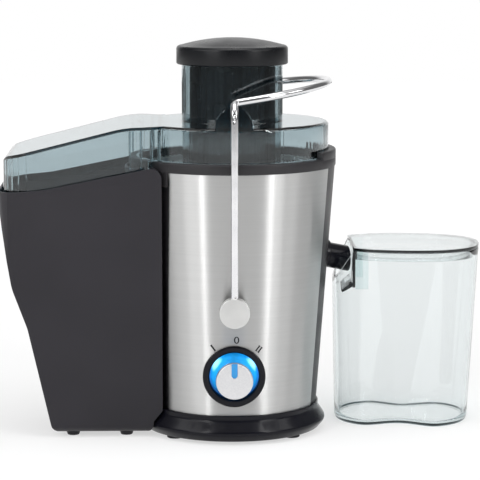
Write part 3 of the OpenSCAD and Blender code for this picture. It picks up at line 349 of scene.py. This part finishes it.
# %% Metals
def round_the_axis(tree):
    """Angle round the Z axis, as arc length on the front, and the height."""
    spot = put(tree, "SeparateXYZ")
    link(tree, place(tree), spot.inputs[0])
    back = maths(tree, "MULTIPLY", spot.outputs["Y"], -1.0)
    turn = maths(tree, "ARCTAN2", spot.outputs["X"], back)
    return maths(tree, "MULTIPLY", turn, 0.078), spot.outputs["Z"]


def brushed(name, dark, pale, roughness):
    """Steel sheet brushed round the Z axis."""
    made, tree, shader = blank(name, roughness, 1.0)
    arc, height = round_the_axis(tree)
    flat = tree.nodes.new("ShaderNodeCombineXYZ")
    link(tree, arc, flat.inputs["X"])
    link(tree, height, flat.inputs["Z"])
    fine = cloud(tree, flat.outputs[0], 30, 6, (1, 1, 120))
    broad = cloud(tree, flat.outputs[0], 9, 5, (1, 1, 60))
    tint(tree, broad, dark, pale, shader.inputs["Base Color"])
    drift(tree, fine, roughness - 0.03, roughness + 0.03, shader.inputs["Roughness"])
    relief(tree, fine, 0.000003, shader.inputs["Normal"])
    shader.inputs["Anisotropic"].default_value = 1.0
    shader.inputs["Anisotropic Rotation"].default_value = 0.25
    tangent = tree.nodes.new("ShaderNodeTangent")
    tangent.direction_type = "RADIAL"
    tangent.axis = "Z"
    link(tree, tangent.outputs[0], shader.inputs["Tangent"])
    return made


def metal(name, dark, pale, roughness, scale=60, depth=0.00001, stretch=None):
    """Plain metal with a little tarnish and wear in its gloss."""
    made, tree, shader = blank(name, roughness, 1.0)
    spot = place(tree)
    tint(tree, cloud(tree, spot, scale, 4, stretch), dark, pale, shader.inputs["Base Color"])
    drift(tree, cloud(tree, spot, scale * 3, 3, stretch), roughness * 0.8, roughness * 1.25,
          shader.inputs["Roughness"])
    relief(tree, cloud(tree, spot, scale * 9, 2, stretch), depth, shader.inputs["Normal"])
    return made


finishes["brushed_steel"] = brushed("front_steel", (0.57, 0.57, 0.565), (0.60, 0.60, 0.595), 0.36)
finishes["chrome"] = metal("bail_chrome", (0.70, 0.70, 0.715), (0.77, 0.77, 0.78),
                           0.11, 40, 0.000002)
finishes["satin_chrome"] = metal("disc_satin", (0.70, 0.70, 0.69), (0.76, 0.76, 0.75),
                                 0.38, 50, 0.00001)
finishes["cast_aluminium"] = metal("cast_aluminium", (0.52, 0.53, 0.54), (0.64, 0.65, 0.66),
                                   0.5, 300, 0.00006)
finishes["bearing_steel"] = metal("bearing_steel", (0.62, 0.63, 0.64), (0.7, 0.71, 0.72), 0.25)
finishes["mesh_steel"] = metal("mesh_steel", (0.6, 0.61, 0.61), (0.7, 0.71, 0.71), 0.3)
finishes["lamination"] = metal("lamination", (0.2, 0.21, 0.23), (0.36, 0.37, 0.39),
                               0.5, 30, 0.00005, (1, 1, 60))
finishes["copper_wire"] = metal("copper_wire", (0.6, 0.27, 0.12), (0.8, 0.42, 0.22),
                                0.35, 60, 0.00008, (1, 1, 20))
finishes["screw_steel"] = metal("screw_steel", (0.48, 0.49, 0.5), (0.58, 0.59, 0.6), 0.35)
finishes["silver_plastic"] = metal("knob_silver", (0.72, 0.72, 0.735), (0.78, 0.78, 0.79),
                                   0.42, 700, 0.00001)
print("metals:", [k for k in finishes if "steel" in k or "chrome" in k])

# %% [markdown]
# ## Clear plastics
# The lid and the jug are clear, so their colour comes from depth: a wall seen
# square on is nearly colourless, an edge seen along the plastic is deep teal.
# On the walls that is absorption inside the volume, not paint on the surface. A
# shadow ray goes straight through, tinted, so the pieces behind keep their
# light. Where a moulding is seen edge on, the dark of that long way through is
# painted shade: its surface gets a dark colour, found by its place and facing.

# %% Clear plastics
CLEAR_ROUGHNESS = 0.02
RIPPLE = 0.00002


def clear(name, face, through, density, shade, edge=None, edge_shade=None, ripple=RIPPLE):
    """Clear plastic whose colour deepens with the way through it. A wall of
    any thickness takes its face colour once; an edge gets painted shade."""
    made, tree, shader = blank(name, CLEAR_ROUGHNESS)
    shader.inputs["Base Color"].default_value = (*face, 1)
    # Painted shade: where the edge mask holds, the surface colour turns dark, standing in for the
    # long way through the plastic.
    if edge:
        tint(tree, edge(tree), face, edge_shade, shader.inputs["Base Color"])
    shader.inputs["Transmission Weight"].default_value = 1.0
    shader.inputs["IOR"].default_value = 1.5
    if ripple:
        relief(tree, cloud(tree, place(tree), 28, 2), ripple, shader.inputs["Normal"])
    path = tree.nodes.new("ShaderNodeLightPath")
    ghost = put(tree, "BsdfTransparent", Color=(*shade, 1))
    mix = tree.nodes.new("ShaderNodeMixShader")
    link(tree, path.outputs["Is Shadow Ray"], mix.inputs[0])
    link(tree, shader.outputs[0], mix.inputs[1])
    link(tree, ghost.outputs[0], mix.inputs[2])
    out = tree.nodes["Material Output"]
    link(tree, mix.outputs[0], out.inputs["Surface"])
    depth = put(tree, "VolumeAbsorption", Color=(*through, 1), Density=density)
    link(tree, depth.outputs[0], out.inputs["Volume"])
    return made


def facts(tree):
    """How far a point is from the middle plane to either side, its height,
    and how far its surface faces sideways and up or down."""
    spot = put(tree, "SeparateXYZ")
    link(tree, place(tree), spot.inputs[0])
    facing = put(tree, "SeparateXYZ")
    link(tree, tree.nodes.new("ShaderNodeTexCoord").outputs["Normal"], facing.inputs[0])
    x, y = (maths(tree, "ABSOLUTE", spot.outputs[axis]) for axis in "XY")
    side, level = (maths(tree, "ABSOLUTE", facing.outputs[axis]) for axis in "YZ")
    return x, y, spot.outputs["Z"], side, level


def both(tree, *conditions):
    """1 where every condition, as (operation, value, bound), holds."""
    met = None
    for operation, value, bound in conditions:
        here = maths(tree, operation, value, bound)
        met = here if met is None else maths(tree, "MULTIPLY", met, here)
    return met


LUG_HALF, LUG_BACK, LUG_FOOT = 0.016, 0.0748, 0.2672
JUG_FOOT_TOP = 0.0034
PLATE_LOW, WEB_TOP, TOE_TOP = 0.1552, 0.1466, 0.1192
STEEP = 0.8
SIDEWAYS = 0.6


def lug_shade_mask(tree):
    """Where painted shade goes on the lid's two lugs, which are thick right through."""
    x, y, z, _, _ = facts(tree)
    return both(tree, ("LESS_THAN", x, LUG_HALF), ("GREATER_THAN", y, LUG_BACK),
                ("GREATER_THAN", z, LUG_FOOT))


def jug_foot_shade_mask(tree):
    """Where painted shade goes on the rim of the jug's floor, seen edge on."""
    _, _, z, _, level = facts(tree)
    return both(tree, ("LESS_THAN", z, JUG_FOOT_TOP), ("LESS_THAN", level, STEEP))


def plate_shade_mask(tree):
    """Where painted shade goes: the edge of the jug's lid plate, and the web and toe below it."""
    _, _, z, side, level = facts(tree)
    plate = both(tree, ("GREATER_THAN", z, PLATE_LOW), ("LESS_THAN", level, STEEP))
    web = both(tree, ("LESS_THAN", z, WEB_TOP), ("GREATER_THAN", side, SIDEWAYS))
    toe = maths(tree, "LESS_THAN", z, TOE_TOP)
    return maths(tree, "MAXIMUM", maths(tree, "MAXIMUM", plate, web), toe)


# Painted shade: a nearly black teal on the jug's foot rim and on the lid plate's edge, web and toe.
PAINTED_EDGE_SHADE = (0.010, 0.018, 0.020)
# Painted shade for the lugs: a darker teal standing in for their thickness.
LUG_PAINTED_SHADE = (0.13, 0.33, 0.42)
LID = ((0.63, 0.695, 0.715), (0.17, 0.42, 0.48), 45, (0.60, 0.71, 0.74))
JUG = ((0.985, 0.99, 0.99), (0.40, 0.54, 0.56), 60, (0.9, 0.94, 0.94))
finishes["smoked_clear"] = clear("lid_teal", *LID, lug_shade_mask, LUG_PAINTED_SHADE, ripple=0)
finishes["jug_clear"] = clear("jug_teal", *JUG, jug_foot_shade_mask, PAINTED_EDGE_SHADE)
finishes["lid_plate_clear"] = clear("jug_lid_teal", *JUG, plate_shade_mask, PAINTED_EDGE_SHADE)
finishes["wing_clear"] = clear("wing_teal", (0.86, 0.93, 0.93), *JUG[1:])
print("clear:", [k for k in finishes if "clear" in k])

# %% [markdown]
# ## The lit dial
# A ring of clear blue plastic sits at the bottom of the black bezel, with two
# lamps behind it, at ten and at two o'clock. The glow is strongest there and
# fades towards the bottom, so its strength is worked out from the distance to
# the two lamps.

# %% Dial lights
KNOB_Z = 0.059
BODY_TOP_R = 0.0887
BODY_TAPER = 0.0744
BODY_TOP = 0.231


def body_r(z):
    """Radius of the housing at a height."""
    return BODY_TOP_R - BODY_TAPER * (BODY_TOP - z)


def lit(name, colour, glow_colour, glint, low, high, spread):
    """Blue plastic lit from behind by the dial's two lamps: a glow that fades
    with the way to the nearer lamp, and a small paler glint at each."""
    made, tree, shader = blank(name, 0.22)
    shader.inputs["Base Color"].default_value = (*colour, 1)
    spot = place(tree)
    nearest = None
    for side in (-1, 1):
        gap = tree.nodes.new("ShaderNodeVectorMath")
        gap.operation = "DISTANCE"
        link(tree, spot, gap.inputs[0])
        gap.inputs[1].default_value = (side * 0.0148, -body_r(KNOB_Z), KNOB_Z + 0.0108)
        here = gap.outputs["Value"]
        nearest = here if nearest is None else maths(tree, "MINIMUM", nearest, here)
    fall = ramped(tree, nearest, 0.004, spread, high, low)
    uneven = ramped(tree, cloud(tree, spot, 300, 2), 0.3, 0.7, 0.85, 1.15)
    close = ramped(tree, nearest, 0.0075, 0.003, 0.0, glint)
    hue = tree.nodes.new("ShaderNodeValToRGB")
    hue.color_ramp.elements[0].color = (*glow_colour, 1)
    hue.color_ramp.elements[1].color = (0.35, 0.85, 1.0, 1)
    link(tree, close, hue.inputs["Fac"])
    link(tree, hue.outputs[0], shader.inputs["Emission Color"])
    strength = maths(tree, "ADD", maths(tree, "MULTIPLY", fall, uneven), close)
    link(tree, strength, shader.inputs["Emission Strength"])
    return made


finishes["blue_light"] = lit(
    "dial_glow", (0.006, 0.05, 0.20), (0.004, 0.26, 0.95), 1.1, 0.10, 1.0, 0.030)
finishes["blue_clear"] = lit(
    "knob_side", (0.02, 0.20, 0.45), (0.008, 0.36, 0.95), 0.8, 0.10, 1.1, 0.024)
print("dial finishes ready")

# %% [markdown]
# ## Finishes onto the solids
# The record says which finish each solid has. Its own stand-in materials go,
# and the new one takes their place in the same slot.

# %% Dress the solids
slot_of = {part["node"]: part["material_slot"] for part in frame["record"]["subparts"]}
own_finish = {"pusher_cap": "cap_black", "pusher_sleeve": "pusher_black",
              "jug_lid": "lid_plate_clear"}
for name, solid in frame["nodes"].items():
    solid.data.materials.clear()
    solid.data.materials.append(finishes[own_finish.get(name, slot_of[name])])
    for face in solid.data.polygons:
        face.material_index = 0
    solid.data.shade_smooth()
    solid.data.set_sharp_from_angle(angle=math.radians(30))
print("dressed", len(slot_of), "solids with", len(set(slot_of.values())), "finishes")

# %% [markdown]
# ## Pieces of our own
# Every piece from here on is built point by point with bmesh. Two helpers do
# most of the work: one turns rows of points into a skin, the other sweeps a
# round rod along a path without letting it twist.

# %% Helpers for meshes
MM = 0.001


def piece(name, bm, slot_name, body, smooth=True, angle=35):
    """Turns a bmesh in metres into a piece that rides on a body."""
    bmesh.ops.recalc_face_normals(bm, faces=bm.faces)
    if bm.calc_volume(signed=True) < 0:
        bmesh.ops.reverse_faces(bm, faces=bm.faces)
    mesh = bpy.data.meshes.new(name)
    bm.to_mesh(mesh)
    bm.free()
    made = bpy.data.objects.new(name, mesh)
    scene.collection.objects.link(made)
    mesh.materials.append(finishes[slot_name])
    if smooth:
        mesh.shade_smooth()
        mesh.set_sharp_from_angle(angle=math.radians(angle))
    else:
        mesh.shade_flat()
    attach(made, body)
    print(f"{name}: {len(mesh.polygons)} faces on {body}")
    return made


def skin(bm, rows):
    """Joins closed rings of points, each as long as the last, with quads."""
    made = [[bm.verts.new(p) for p in row] for row in rows]
    for low, high in zip(made, made[1:]):
        for i in range(len(low)):
            j = (i + 1) % len(low)
            bm.faces.new((low[i], low[j], high[j], high[i]))
    return made


def sweep(bm, path, radius, sides):
    """A round rod along a path. Its cross-section is carried from point to
    point by the smallest turn, so it never twists."""
    across = None
    rows = []
    for i, spot in enumerate(path):
        ahead = (path[min(i + 1, len(path) - 1)] - path[max(i - 1, 0)]).normalized()
        if across is None:
            across = ahead.orthogonal().normalized()
        across = (across - ahead * across.dot(ahead)).normalized()
        up = ahead.cross(across)
        rows.append([
            spot + radius * (math.cos(math.tau * k / sides) * across
                             + math.sin(math.tau * k / sides) * up)
            for k in range(sides)])
    made = skin(bm, rows)
    bm.faces.new(made[0][::-1])
    bm.faces.new(made[-1])


print("helpers: piece, skin, sweep")

# %% [markdown]
# ## The chrome bail
# The bail is one bent rod: up from its pivot, in over the lug, and then round
# behind the chute in a rising loop. A bent rod has no sharp corner, so the
# path is laid out straight first and its corners are then relaxed, point by
# point, until they take the radius of a real bend. The front leg has a small
# pressed slot near its top and a dimple above the disc, left by the tool that
# held the rod: points of the skin are pushed in there.

# %% Bail
PIVOT_Z = 116.5
LEG_Y = 94.0
ROD_R = 3.2
LOOP_Z = 290.6
LOOP_R = 82.7
LOOP_RISE = math.tan(math.radians(8.5))
BEND = 12.0


def bail_path():
    """The rod's centre line in millimetres, from the front pivot to the rear."""
    start_z = PIVOT_Z + 12.75 - 5
    front = [Vector((0, -LEG_Y, start_z + t)) for t in range(0, int(LOOP_Z - BEND - start_z))]
    for k in range(13):
        a = math.radians(7.5 * k)
        front.append(Vector((0, -LEG_Y + (LEG_Y - LOOP_R) * (1 - math.cos(a)),
                             LOOP_Z - BEND + BEND * math.sin(a))))
    loop = []
    for k in range(1, 180):
        a = math.radians(k - 90)
        loop.append(Vector((LOOP_R * math.cos(a), LOOP_R * math.sin(a),
                            LOOP_Z + LOOP_R * math.cos(a) * LOOP_RISE)))
    rear = [Vector((p.x, -p.y, p.z)) for p in reversed(front)]
    return front + loop + rear, (len(front) - 1, len(front) + len(loop))


def relax(path, corner, reach, rounds):
    """Rounds a corner: each point moves to the mean of its neighbours."""
    for _ in range(rounds):
        old = [p.copy() for p in path]
        for i in range(corner - reach, corner + reach + 1):
            path[i] = (old[i - 1] + 2 * old[i] + old[i + 1]) / 4


rod_path, corners = bail_path()
for corner in corners:
    relax(rod_path, corner, 9, 9)
SLOT = (-0.5, 278.8, 0.9, 2.6)
DIMPLE = (0.6, 129.3, 0.8, 0.8)
DENT = 1.1


def press(bm, mark):
    """Presses a mark, given as its middle and half sizes, into the leg."""
    for v in bm.verts:
        x, y, z = v.co / MM
        if y > -LEG_Y or abs(z - mark[1]) > 2 * mark[3]:
            continue
        away = ((x - mark[0]) / mark[2]) ** 2 + ((z - mark[1]) / mark[3]) ** 2
        if away < 1.4:
            v.co.y += DENT * MM * min(1.0, 1.5 * (1.4 - away))


bm = bmesh.new()
sweep(bm, [p * MM for p in rod_path], ROD_R * MM, 44)
for mark in (SLOT, DIMPLE):
    press(bm, mark)
bail = piece("bail_bar", bm, "chrome", "bail", angle=60)
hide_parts("bail_rod")

# %% [markdown]
# ## The jug's walls
# The jug's floor has a waist, and its rim is a plain oval: going up, the
# waist fades away. The floor turns into the walls with a small round, as
# moulded bottoms do. Each row of the skin is the outline at one height,
# mixed from those two. The skin runs up the outside, over the rim and down
# the inside, so the wall has a true thickness for the light to pass through.

# %% Jug outline
JUG_CENTRE = Vector((0.15099, 0.034, 0))
JUG_TURN = math.radians(-7)
JUG_H = 155.0
JUG_HALF_LEN = 59.0
JUG_HALF_WIDE = 50.0
JUG_WAIST = 16.0
WAIST_SPAN = 0.62
JUG_POWER = 2.4
JUG_WALL = 2.2
JUG_FLOOR = 3.0
FLARE_X = 1.1
FLARE_Y = 1.09
RIM_LEAN = 2.9
JUG_POINTS = 200
jug_place = Matrix.Translation(JUG_CENTRE) @ Matrix.Rotation(JUG_TURN, 4, "Z")


def jug_point(turn, height):
    """A point of the outline: at the floor an oval with a waist, at the rim a
    wider oval without one, and between them on the straight line."""
    c, s = math.cos(turn), math.sin(turn)
    x = math.copysign(abs(c) ** (2 / JUG_POWER), c)
    y = math.copysign(abs(s) ** (2 / JUG_POWER), s)
    waist = JUG_WAIST * math.cos(math.pi / 2 * x / WAIST_SPAN) ** 2 if abs(x) < WAIST_SPAN else 0
    low = Vector((JUG_HALF_LEN * x, JUG_HALF_WIDE * y - math.copysign(waist, s)))
    high = Vector((JUG_HALF_LEN * FLARE_X * x + RIM_LEAN, JUG_HALF_WIDE * FLARE_Y * y))
    return low.lerp(high, height / JUG_H)


def evened(points, count):
    """The same closed outline with its points at equal steps."""
    steps = [(b - a).length for a, b in zip(points, points[1:] + points[:1])]
    total = sum(steps)
    made, i, passed = [], 0, 0.0
    for k in range(count):
        want = total * k / count
        while passed + steps[i] < want:
            passed += steps[i]
            i += 1
        a, b = points[i], points[(i + 1) % len(points)]
        made.append(a.lerp(b, (want - passed) / steps[i]))
    return made


def outline_at(height, inset):
    """The jug's outline at a height, drawn in by an inset, in millimetres."""
    even = evened([jug_point(math.tau * k / 800, height) for k in range(800)], JUG_POINTS)
    made = []
    for k, p in enumerate(even):
        along = even[(k + 1) % JUG_POINTS] - even[k - 1]
        made.append(p + inset * Vector((-along.y, along.x)).normalized())
    return made


def jug_row(height, inset):
    """A row of the jug's skin, in place, in metres."""
    return [jug_place @ (Vector((p.x, p.y, height)) * MM) for p in outline_at(height, inset)]


print("jug outline of", JUG_POINTS, "points")

# %% [markdown]
# ## The jug's skin
# Each row is a height and how far the outline is drawn in there: first the
# round under the floor, then the wall, the rim, the inside and the floor
# again. Where the spout reaches in, a slanting plane cuts the mouth.

# %% Jug body
bm = bmesh.new()
SKIN = 0.05
outside = [(0, 4.5), (0.3, 2.4), (1.2, 1.0), (2.8, 0.3), (4.8, SKIN)]
outside += [(4.8 + (JUG_H - 5.4) * k / 24, SKIN) for k in range(1, 25)]
rim = [(JUG_H - 0.15, 0.2), (JUG_H, 0.6), (JUG_H, JUG_WALL - 0.6), (JUG_H - 0.15, JUG_WALL - 0.2)]
inside = [(JUG_H - 0.6 - (JUG_H - 9) * k / 24, JUG_WALL) for k in range(25)]
inside += [(5.6, JUG_WALL + 0.6), (4.2, JUG_WALL + 1.6), (3.3, JUG_WALL + 3.2), (JUG_FLOOR, 8)]
rows = skin(bm, [jug_row(*level) for level in outside + rim + inside])
bm.faces.new(rows[0][::-1])
bm.faces.new(rows[-1])
MOUTH_TOP = Vector((0.10559, 0, 0.155))
MOUTH_LOW = Vector((0.08649, 0, 0.12003))
slope = (MOUTH_TOP - MOUTH_LOW).normalized()
cut = bmesh.ops.bisect_plane(
    bm, geom=bm.verts[:] + bm.edges[:] + bm.faces[:], plane_co=MOUTH_TOP,
    plane_no=Vector((-slope.z, 0, slope.x)), clear_outer=True)
rim_edges = [e for e in cut["geom_cut"] if isinstance(e, bmesh.types.BMEdge)]
bmesh.ops.triangle_fill(bm, use_beauty=True, edges=rim_edges)
jug = piece("jug_walls", bm, "jug_clear", "jug")
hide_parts("jug_body")

# %% [markdown]
# ## Rounded edges
# No moulding has a knife edge: the tool is cut with a small radius, and that
# radius is what catches the light and draws a bright line along each edge.
# For the visible mouldings the solid's own mesh is copied, its flat faces are
# merged, and every sharp edge is bevelled by half a millimetre or so. The
# clear lid is shaded flat. On a clear wall a normal that leans would bend the
# view of what stands behind it.

# %% Rounded mouldings
body_of = {node: body for body, nodes in frame["record"]["behaviour"]["bodies"].items()
           for node in nodes}


SMOOTH_BELOW = 20


def rounded(name, node, width, rings=2, limit=40, smooth=True):
    """A copy of a solid whose sharp edges are rounded by a width in mm."""
    bm = bmesh.new()
    bm.from_mesh(frame["nodes"][node].data)
    bmesh.ops.remove_doubles(bm, verts=bm.verts, dist=1e-6)
    bmesh.ops.dissolve_limit(bm, angle_limit=math.radians(1), verts=bm.verts, edges=bm.edges)
    sharp = [e for e in bm.edges
             if e.is_manifold and e.calc_face_angle(0) > math.radians(limit)]
    bmesh.ops.bevel(bm, geom=sharp, offset=width * MM, segments=rings, profile=0.5,
                    affect="EDGES", clamp_overlap=False)
    made = piece(name, bm, slot_of[node], body_of[node], smooth, SMOOTH_BELOW)
    made.data.materials[0] = finishes[own_finish.get(node, slot_of[node])]
    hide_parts(node)


rounded("lid_moulding", "lid_cover", 0.5, smooth=False)
rounded("jug_lid_plate", "jug_lid", 0.4)
rounded("bin_moulding", "pulp_bin", 0.5)
rounded("housing_moulding", "housing_shell", 0.4)
rounded("bowl_moulding", "juice_bowl", 0.4)
rounded("spout_moulding", "spout", 0.5)
rounded("plinth_moulding", "base_plinth", 0.8, limit=30)
rounded("dial_bezel", "knob_bezel", 1.4, rings=4)
rounded("knob_face", "knob_cap", 0.5)
rounded("disc_front", "pivot_disc_front", 0.6)
rounded("disc_rear", "pivot_disc_rear", 0.6)
rounded("cap_moulding", "pusher_cap", 0.5, limit=30)

# %% [markdown]
# ## The pusher's sleeve
# The pusher is a closed sleeve, slimmer than the chute, with six guide ribs
# that keep it upright. Light passes between it and the chute's wall, which
# gives the chute its pale edges. Shallow flutes run down the sleeve between
# the ribs; each mirrors its own strip of the studio as a faint streak.

# %% Pusher sleeve
SLEEVE_R = 35.5
GUIDE_R = 40.5
GUIDE_T = 1.6
GUIDES = 6
SLEEVE_LOW, GUIDE_TOP, SLEEVE_TOP = 200.9, 317.3, 325.2
FLUTE_DEPTH = 0.5
FLUTES_BETWEEN = 5
FLUTE_STEPS = 50
FOOT_ROUND = 1.4
HAIR = 0.05


def sleeve_row(z, inset, guide_r):
    """One row round the sleeve: for each guide its foot and its tip, then
    the flutes, as cosine hollows, up to the next guide."""
    row = []
    half = GUIDE_T / 2 / SLEEVE_R
    tip = GUIDE_T / 2 / GUIDE_R
    span = math.tau / GUIDES - 2 * half
    for i in range(GUIDES):
        a = math.tau * i / GUIDES + math.pi / 2
        spots = [(a - half, SLEEVE_R), (a - tip, guide_r), (a + tip, guide_r), (a + half, SLEEVE_R)]
        for k in range(1, FLUTE_STEPS):
            hollow = 0.5 - 0.5 * math.cos(math.tau * FLUTES_BETWEEN * k / FLUTE_STEPS)
            spots.append((a + half + span * k / FLUTE_STEPS, SLEEVE_R - FLUTE_DEPTH * hollow))
        row += [Vector(((r - inset) * math.cos(t), (r - inset) * math.sin(t), z)) * MM
                for t, r in spots]
    return row


bm = bmesh.new()
straight_low = SLEEVE_LOW + FOOT_ROUND
levels = [(SLEEVE_LOW, 1.5, GUIDE_R), (SLEEVE_LOW + 0.4, 0.5, GUIDE_R)]
levels += [(straight_low + (GUIDE_TOP - straight_low) * k / 8, HAIR, GUIDE_R) for k in range(9)]
levels += [(GUIDE_TOP + HAIR, HAIR, SLEEVE_R), (SLEEVE_TOP, HAIR, SLEEVE_R)]
rows = skin(bm, [sleeve_row(*level) for level in levels])
bm.faces.new(rows[0][::-1])
bm.faces.new(rows[-1])
sleeve = piece("pusher_guides", bm, "black_plastic", "pusher", angle=50)
sleeve.data.materials[0] = finishes["pusher_black"]
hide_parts("pusher_sleeve")

# %% [markdown]
# ## The sieve
# The basket's wall is a steel sheet with more than a thousand holes, through
# which the juice is flung. The holes stand in staggered rows. Each cell of
# the sheet has six points on its border and six round its hole, so six quads
# join them, on the outside and the inside alike.

# %% Sieve
SIEVE_LOW, SIEVE_TOP = 193.0, 229.5
SIEVE_LOW_R, SIEVE_TOP_R = 54.0, 72.0
SIEVE_T = 0.8
SIEVE_COLS, SIEVE_ROWS = 100, 12
HOLE_R = 0.95


def sieve_point(turn, share, out):
    """A point of the sheet by its angle, its share of the height and its
    side: 0 is the inside, 1 the outside."""
    r = SIEVE_LOW_R + (SIEVE_TOP_R - SIEVE_LOW_R) * share + SIEVE_T * out
    z = SIEVE_LOW + (SIEVE_TOP - SIEVE_LOW) * share
    return Vector((r * math.cos(turn), r * math.sin(turn), z)) * MM


bm = bmesh.new()
half_cell = math.pi / SIEVE_COLS
grid = [[[bm.verts.new(sieve_point(half_cell * i, j / SIEVE_ROWS, out))
          for i in range(2 * SIEVE_COLS)] for j in range(SIEVE_ROWS + 1)] for out in (0, 1)]
for j in range(SIEVE_ROWS):
    for i in range(SIEVE_COLS):
        first = 2 * i + j % 2
        middle, height = half_cell * (first + 1), (j + 0.5) / SIEVE_ROWS
        r = SIEVE_LOW_R + (SIEVE_TOP_R - SIEVE_LOW_R) * height
        holes = []
        for out in (0, 1):
            border = [grid[out][j][(first + k) % (2 * SIEVE_COLS)] for k in (0, 1, 2)]
            border += [grid[out][j + 1][(first + k) % (2 * SIEVE_COLS)] for k in (2, 1, 0)]
            hole = []
            for k in range(6):
                a = math.radians(210 + 60 * k)
                hole.append(bm.verts.new(sieve_point(
                    middle + HOLE_R * math.cos(a) / r,
                    height + HOLE_R * math.sin(a) / (SIEVE_TOP - SIEVE_LOW), out)))
            for k in range(6):
                n = (k + 1) % 6
                bm.faces.new((border[k], border[n], hole[n], hole[k]))
            holes.append(hole)
        for k in range(6):
            n = (k + 1) % 6
            bm.faces.new((holes[0][k], holes[0][n], holes[1][n], holes[1][k]))
for j in (0, SIEVE_ROWS):
    for i in range(2 * SIEVE_COLS):
        n = (i + 1) % (2 * SIEVE_COLS)
        bm.faces.new((grid[0][j][i], grid[0][j][n], grid[1][j][n], grid[1][j][i]))
sieve = piece("basket_sieve", bm, "mesh_steel", "spinner", angle=60)
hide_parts("filter_mesh")

# %% [markdown]
# ## Ribs in the lid's waist
# Where the round lid narrows into the cover over the bin, upright ribs
# stiffen its two side walls. They stand inside, a few millimetres deep, and
# show as bright and dark upright lines through the clear plastic.

# %% Duct ribs
RIB_FOOT, RIB_TOP = 234.0, 265.6
RIB_T = 1.7


def rib(bm, x, wall, depth, lean):
    """An upright rib from a side wall inwards, as a rounded slab, mirrored."""
    for side in (-1, 1):
        rows = []
        for z, trim in ((RIB_FOOT, 0.8), (RIB_FOOT + 1, 0), (RIB_TOP - 1, 0), (RIB_TOP, 0.8)):
            near, far = wall - trim * 0.2, wall - depth + trim
            t = RIB_T / 2 - 0.3 * trim
            edge = [(x - t, near), (x + t, near), (x + t + lean, far + 0.5),
                    (x + t / 2 + lean, far), (x - t / 2 + lean, far), (x - t + lean, far + 0.5)]
            rows.append([Vector((px, side * py, z)) * MM for px, py in edge])
        made = skin(bm, rows)
        bm.faces.new(made[0][::-1])
        bm.faces.new(made[-1])


RIBS = ((-63.5, 55.4, 7, 1.5), (-70, 59.4, 6, 1), (-78, 63.6, 8, 0), (-87, 64.3, 7, 0))
bm = bmesh.new()
for x, wall, depth, lean in RIBS:
    rib(bm, x, wall, depth, lean)
piece("duct_ribs", bm, "smoked_clear", "base", angle=30)

# %% [markdown]
# ## Wings of the froth separator
# The web that holds the froth back hangs under the jug's lid. A short wing
# on each end turns it into a channel and keeps it stiff.

# %% Separator wings
WEB_FACE, WING_END = 107.95, 118.9
WING_LOW, WING_TOP = 121.0, 154.9
WING_HALF = 0.8
bm = bmesh.new()
for y in (-0.2, 68.2):
    rows = []
    for z, trim in ((WING_LOW, 0.5), (WING_LOW + 0.6, 0), (WING_TOP, 0)):
        near, far, end = y - WING_HALF, y + WING_HALF, WING_END - trim
        wing_edge = [(WEB_FACE, near), (end, near), (end, far), (WEB_FACE, far)]
        rows.append([Vector((px, py, z)) * MM for px, py in wing_edge])
    made = skin(bm, rows)
    bm.faces.new(made[0][::-1])
    bm.faces.new(made[-1])
wings = piece("separator_wings", bm, "jug_clear", "jug_lid", angle=30)
wings.data.materials[0] = finishes["wing_clear"]

# %% [markdown]
# ## Marks on the dial
# The three marks stand round the knob: off in the middle, one stroke for the
# slow speed, two for the fast one. They are printed, so they are a tenth of a
# millimetre thick and follow the curve of the steel.

# %% Dial marks
PRINT_LOW, PRINT_TOP = 0.00001, 0.00012


def on_front(azimuth, z, lift):
    """A point on the steel front by its angle and height, in metres."""
    r = body_r(z) + lift
    return Vector((r * math.sin(azimuth), -r * math.cos(azimuth), z))


def printed(bm, strokes, middle, turn):
    """Prints closed strokes, given in millimetres round a middle point. A
    stroke is a pair of outlines: its outer edge and its inner one."""
    azimuth, z = math.radians(middle[0]), middle[1] * MM
    c, s = math.cos(math.radians(turn)), math.sin(math.radians(turn))

    def lay(point, lift):
        x, y = point[0] * c - point[1] * s, point[0] * s + point[1] * c
        return on_front(azimuth + x * MM / body_r(z), z + y * MM, lift)

    for outer, inner in strokes:
        rows = skin(bm, [[lay(p, PRINT_LOW) for p in inner], [lay(p, PRINT_TOP) for p in inner],
                         [lay(p, PRINT_TOP) for p in outer], [lay(p, PRINT_LOW) for p in outer]])
        for i in range(len(outer)):
            j = (i + 1) % len(outer)
            bm.faces.new((rows[3][i], rows[3][j], rows[0][j], rows[0][i]))


OVAL_POINTS = 40


def oval(w, h):
    turns = [math.tau * k / OVAL_POINTS for k in range(OVAL_POINTS)]
    return [(w / 2 * math.cos(turn), h / 2 * math.sin(turn)) for turn in turns]


def bar(x, w, h, serif):
    """A stroke with short feet, as an outline and its own middle line."""
    half, foot, t = h / 2, serif / 2, 0.45
    outer = [(-w / 2, -half + t), (-foot, -half + t), (-foot, -half), (foot, -half),
             (foot, -half + t), (w / 2, -half + t), (w / 2, half - t), (foot, half - t),
             (foot, half), (-foot, half), (-foot, half - t), (-w / 2, half - t)]
    middle = [(0, py * 0.9) for _, py in outer]
    return [(x + px, py) for px, py in outer], [(x + px, py) for px, py in middle]


bm = bmesh.new()
printed(bm, [(oval(4.5, 6.1), oval(2.2, 4.6))], (1.47, 90.6), 0)
printed(bm, [bar(0, 1.35, 6.0, 2.2)], (-13.2, 83.6), 37)
printed(bm, [bar(-1.25, 1.15, 5.6, 1.9), bar(1.25, 1.15, 5.6, 1.9)], (15.6, 82.3), -37)
bmesh.ops.remove_doubles(bm, verts=bm.verts, dist=1e-7)
marks = piece("dial_marks", bm, "black_plastic", "base", smooth=False)
marks.data.materials[0] = finishes["cap_black"]
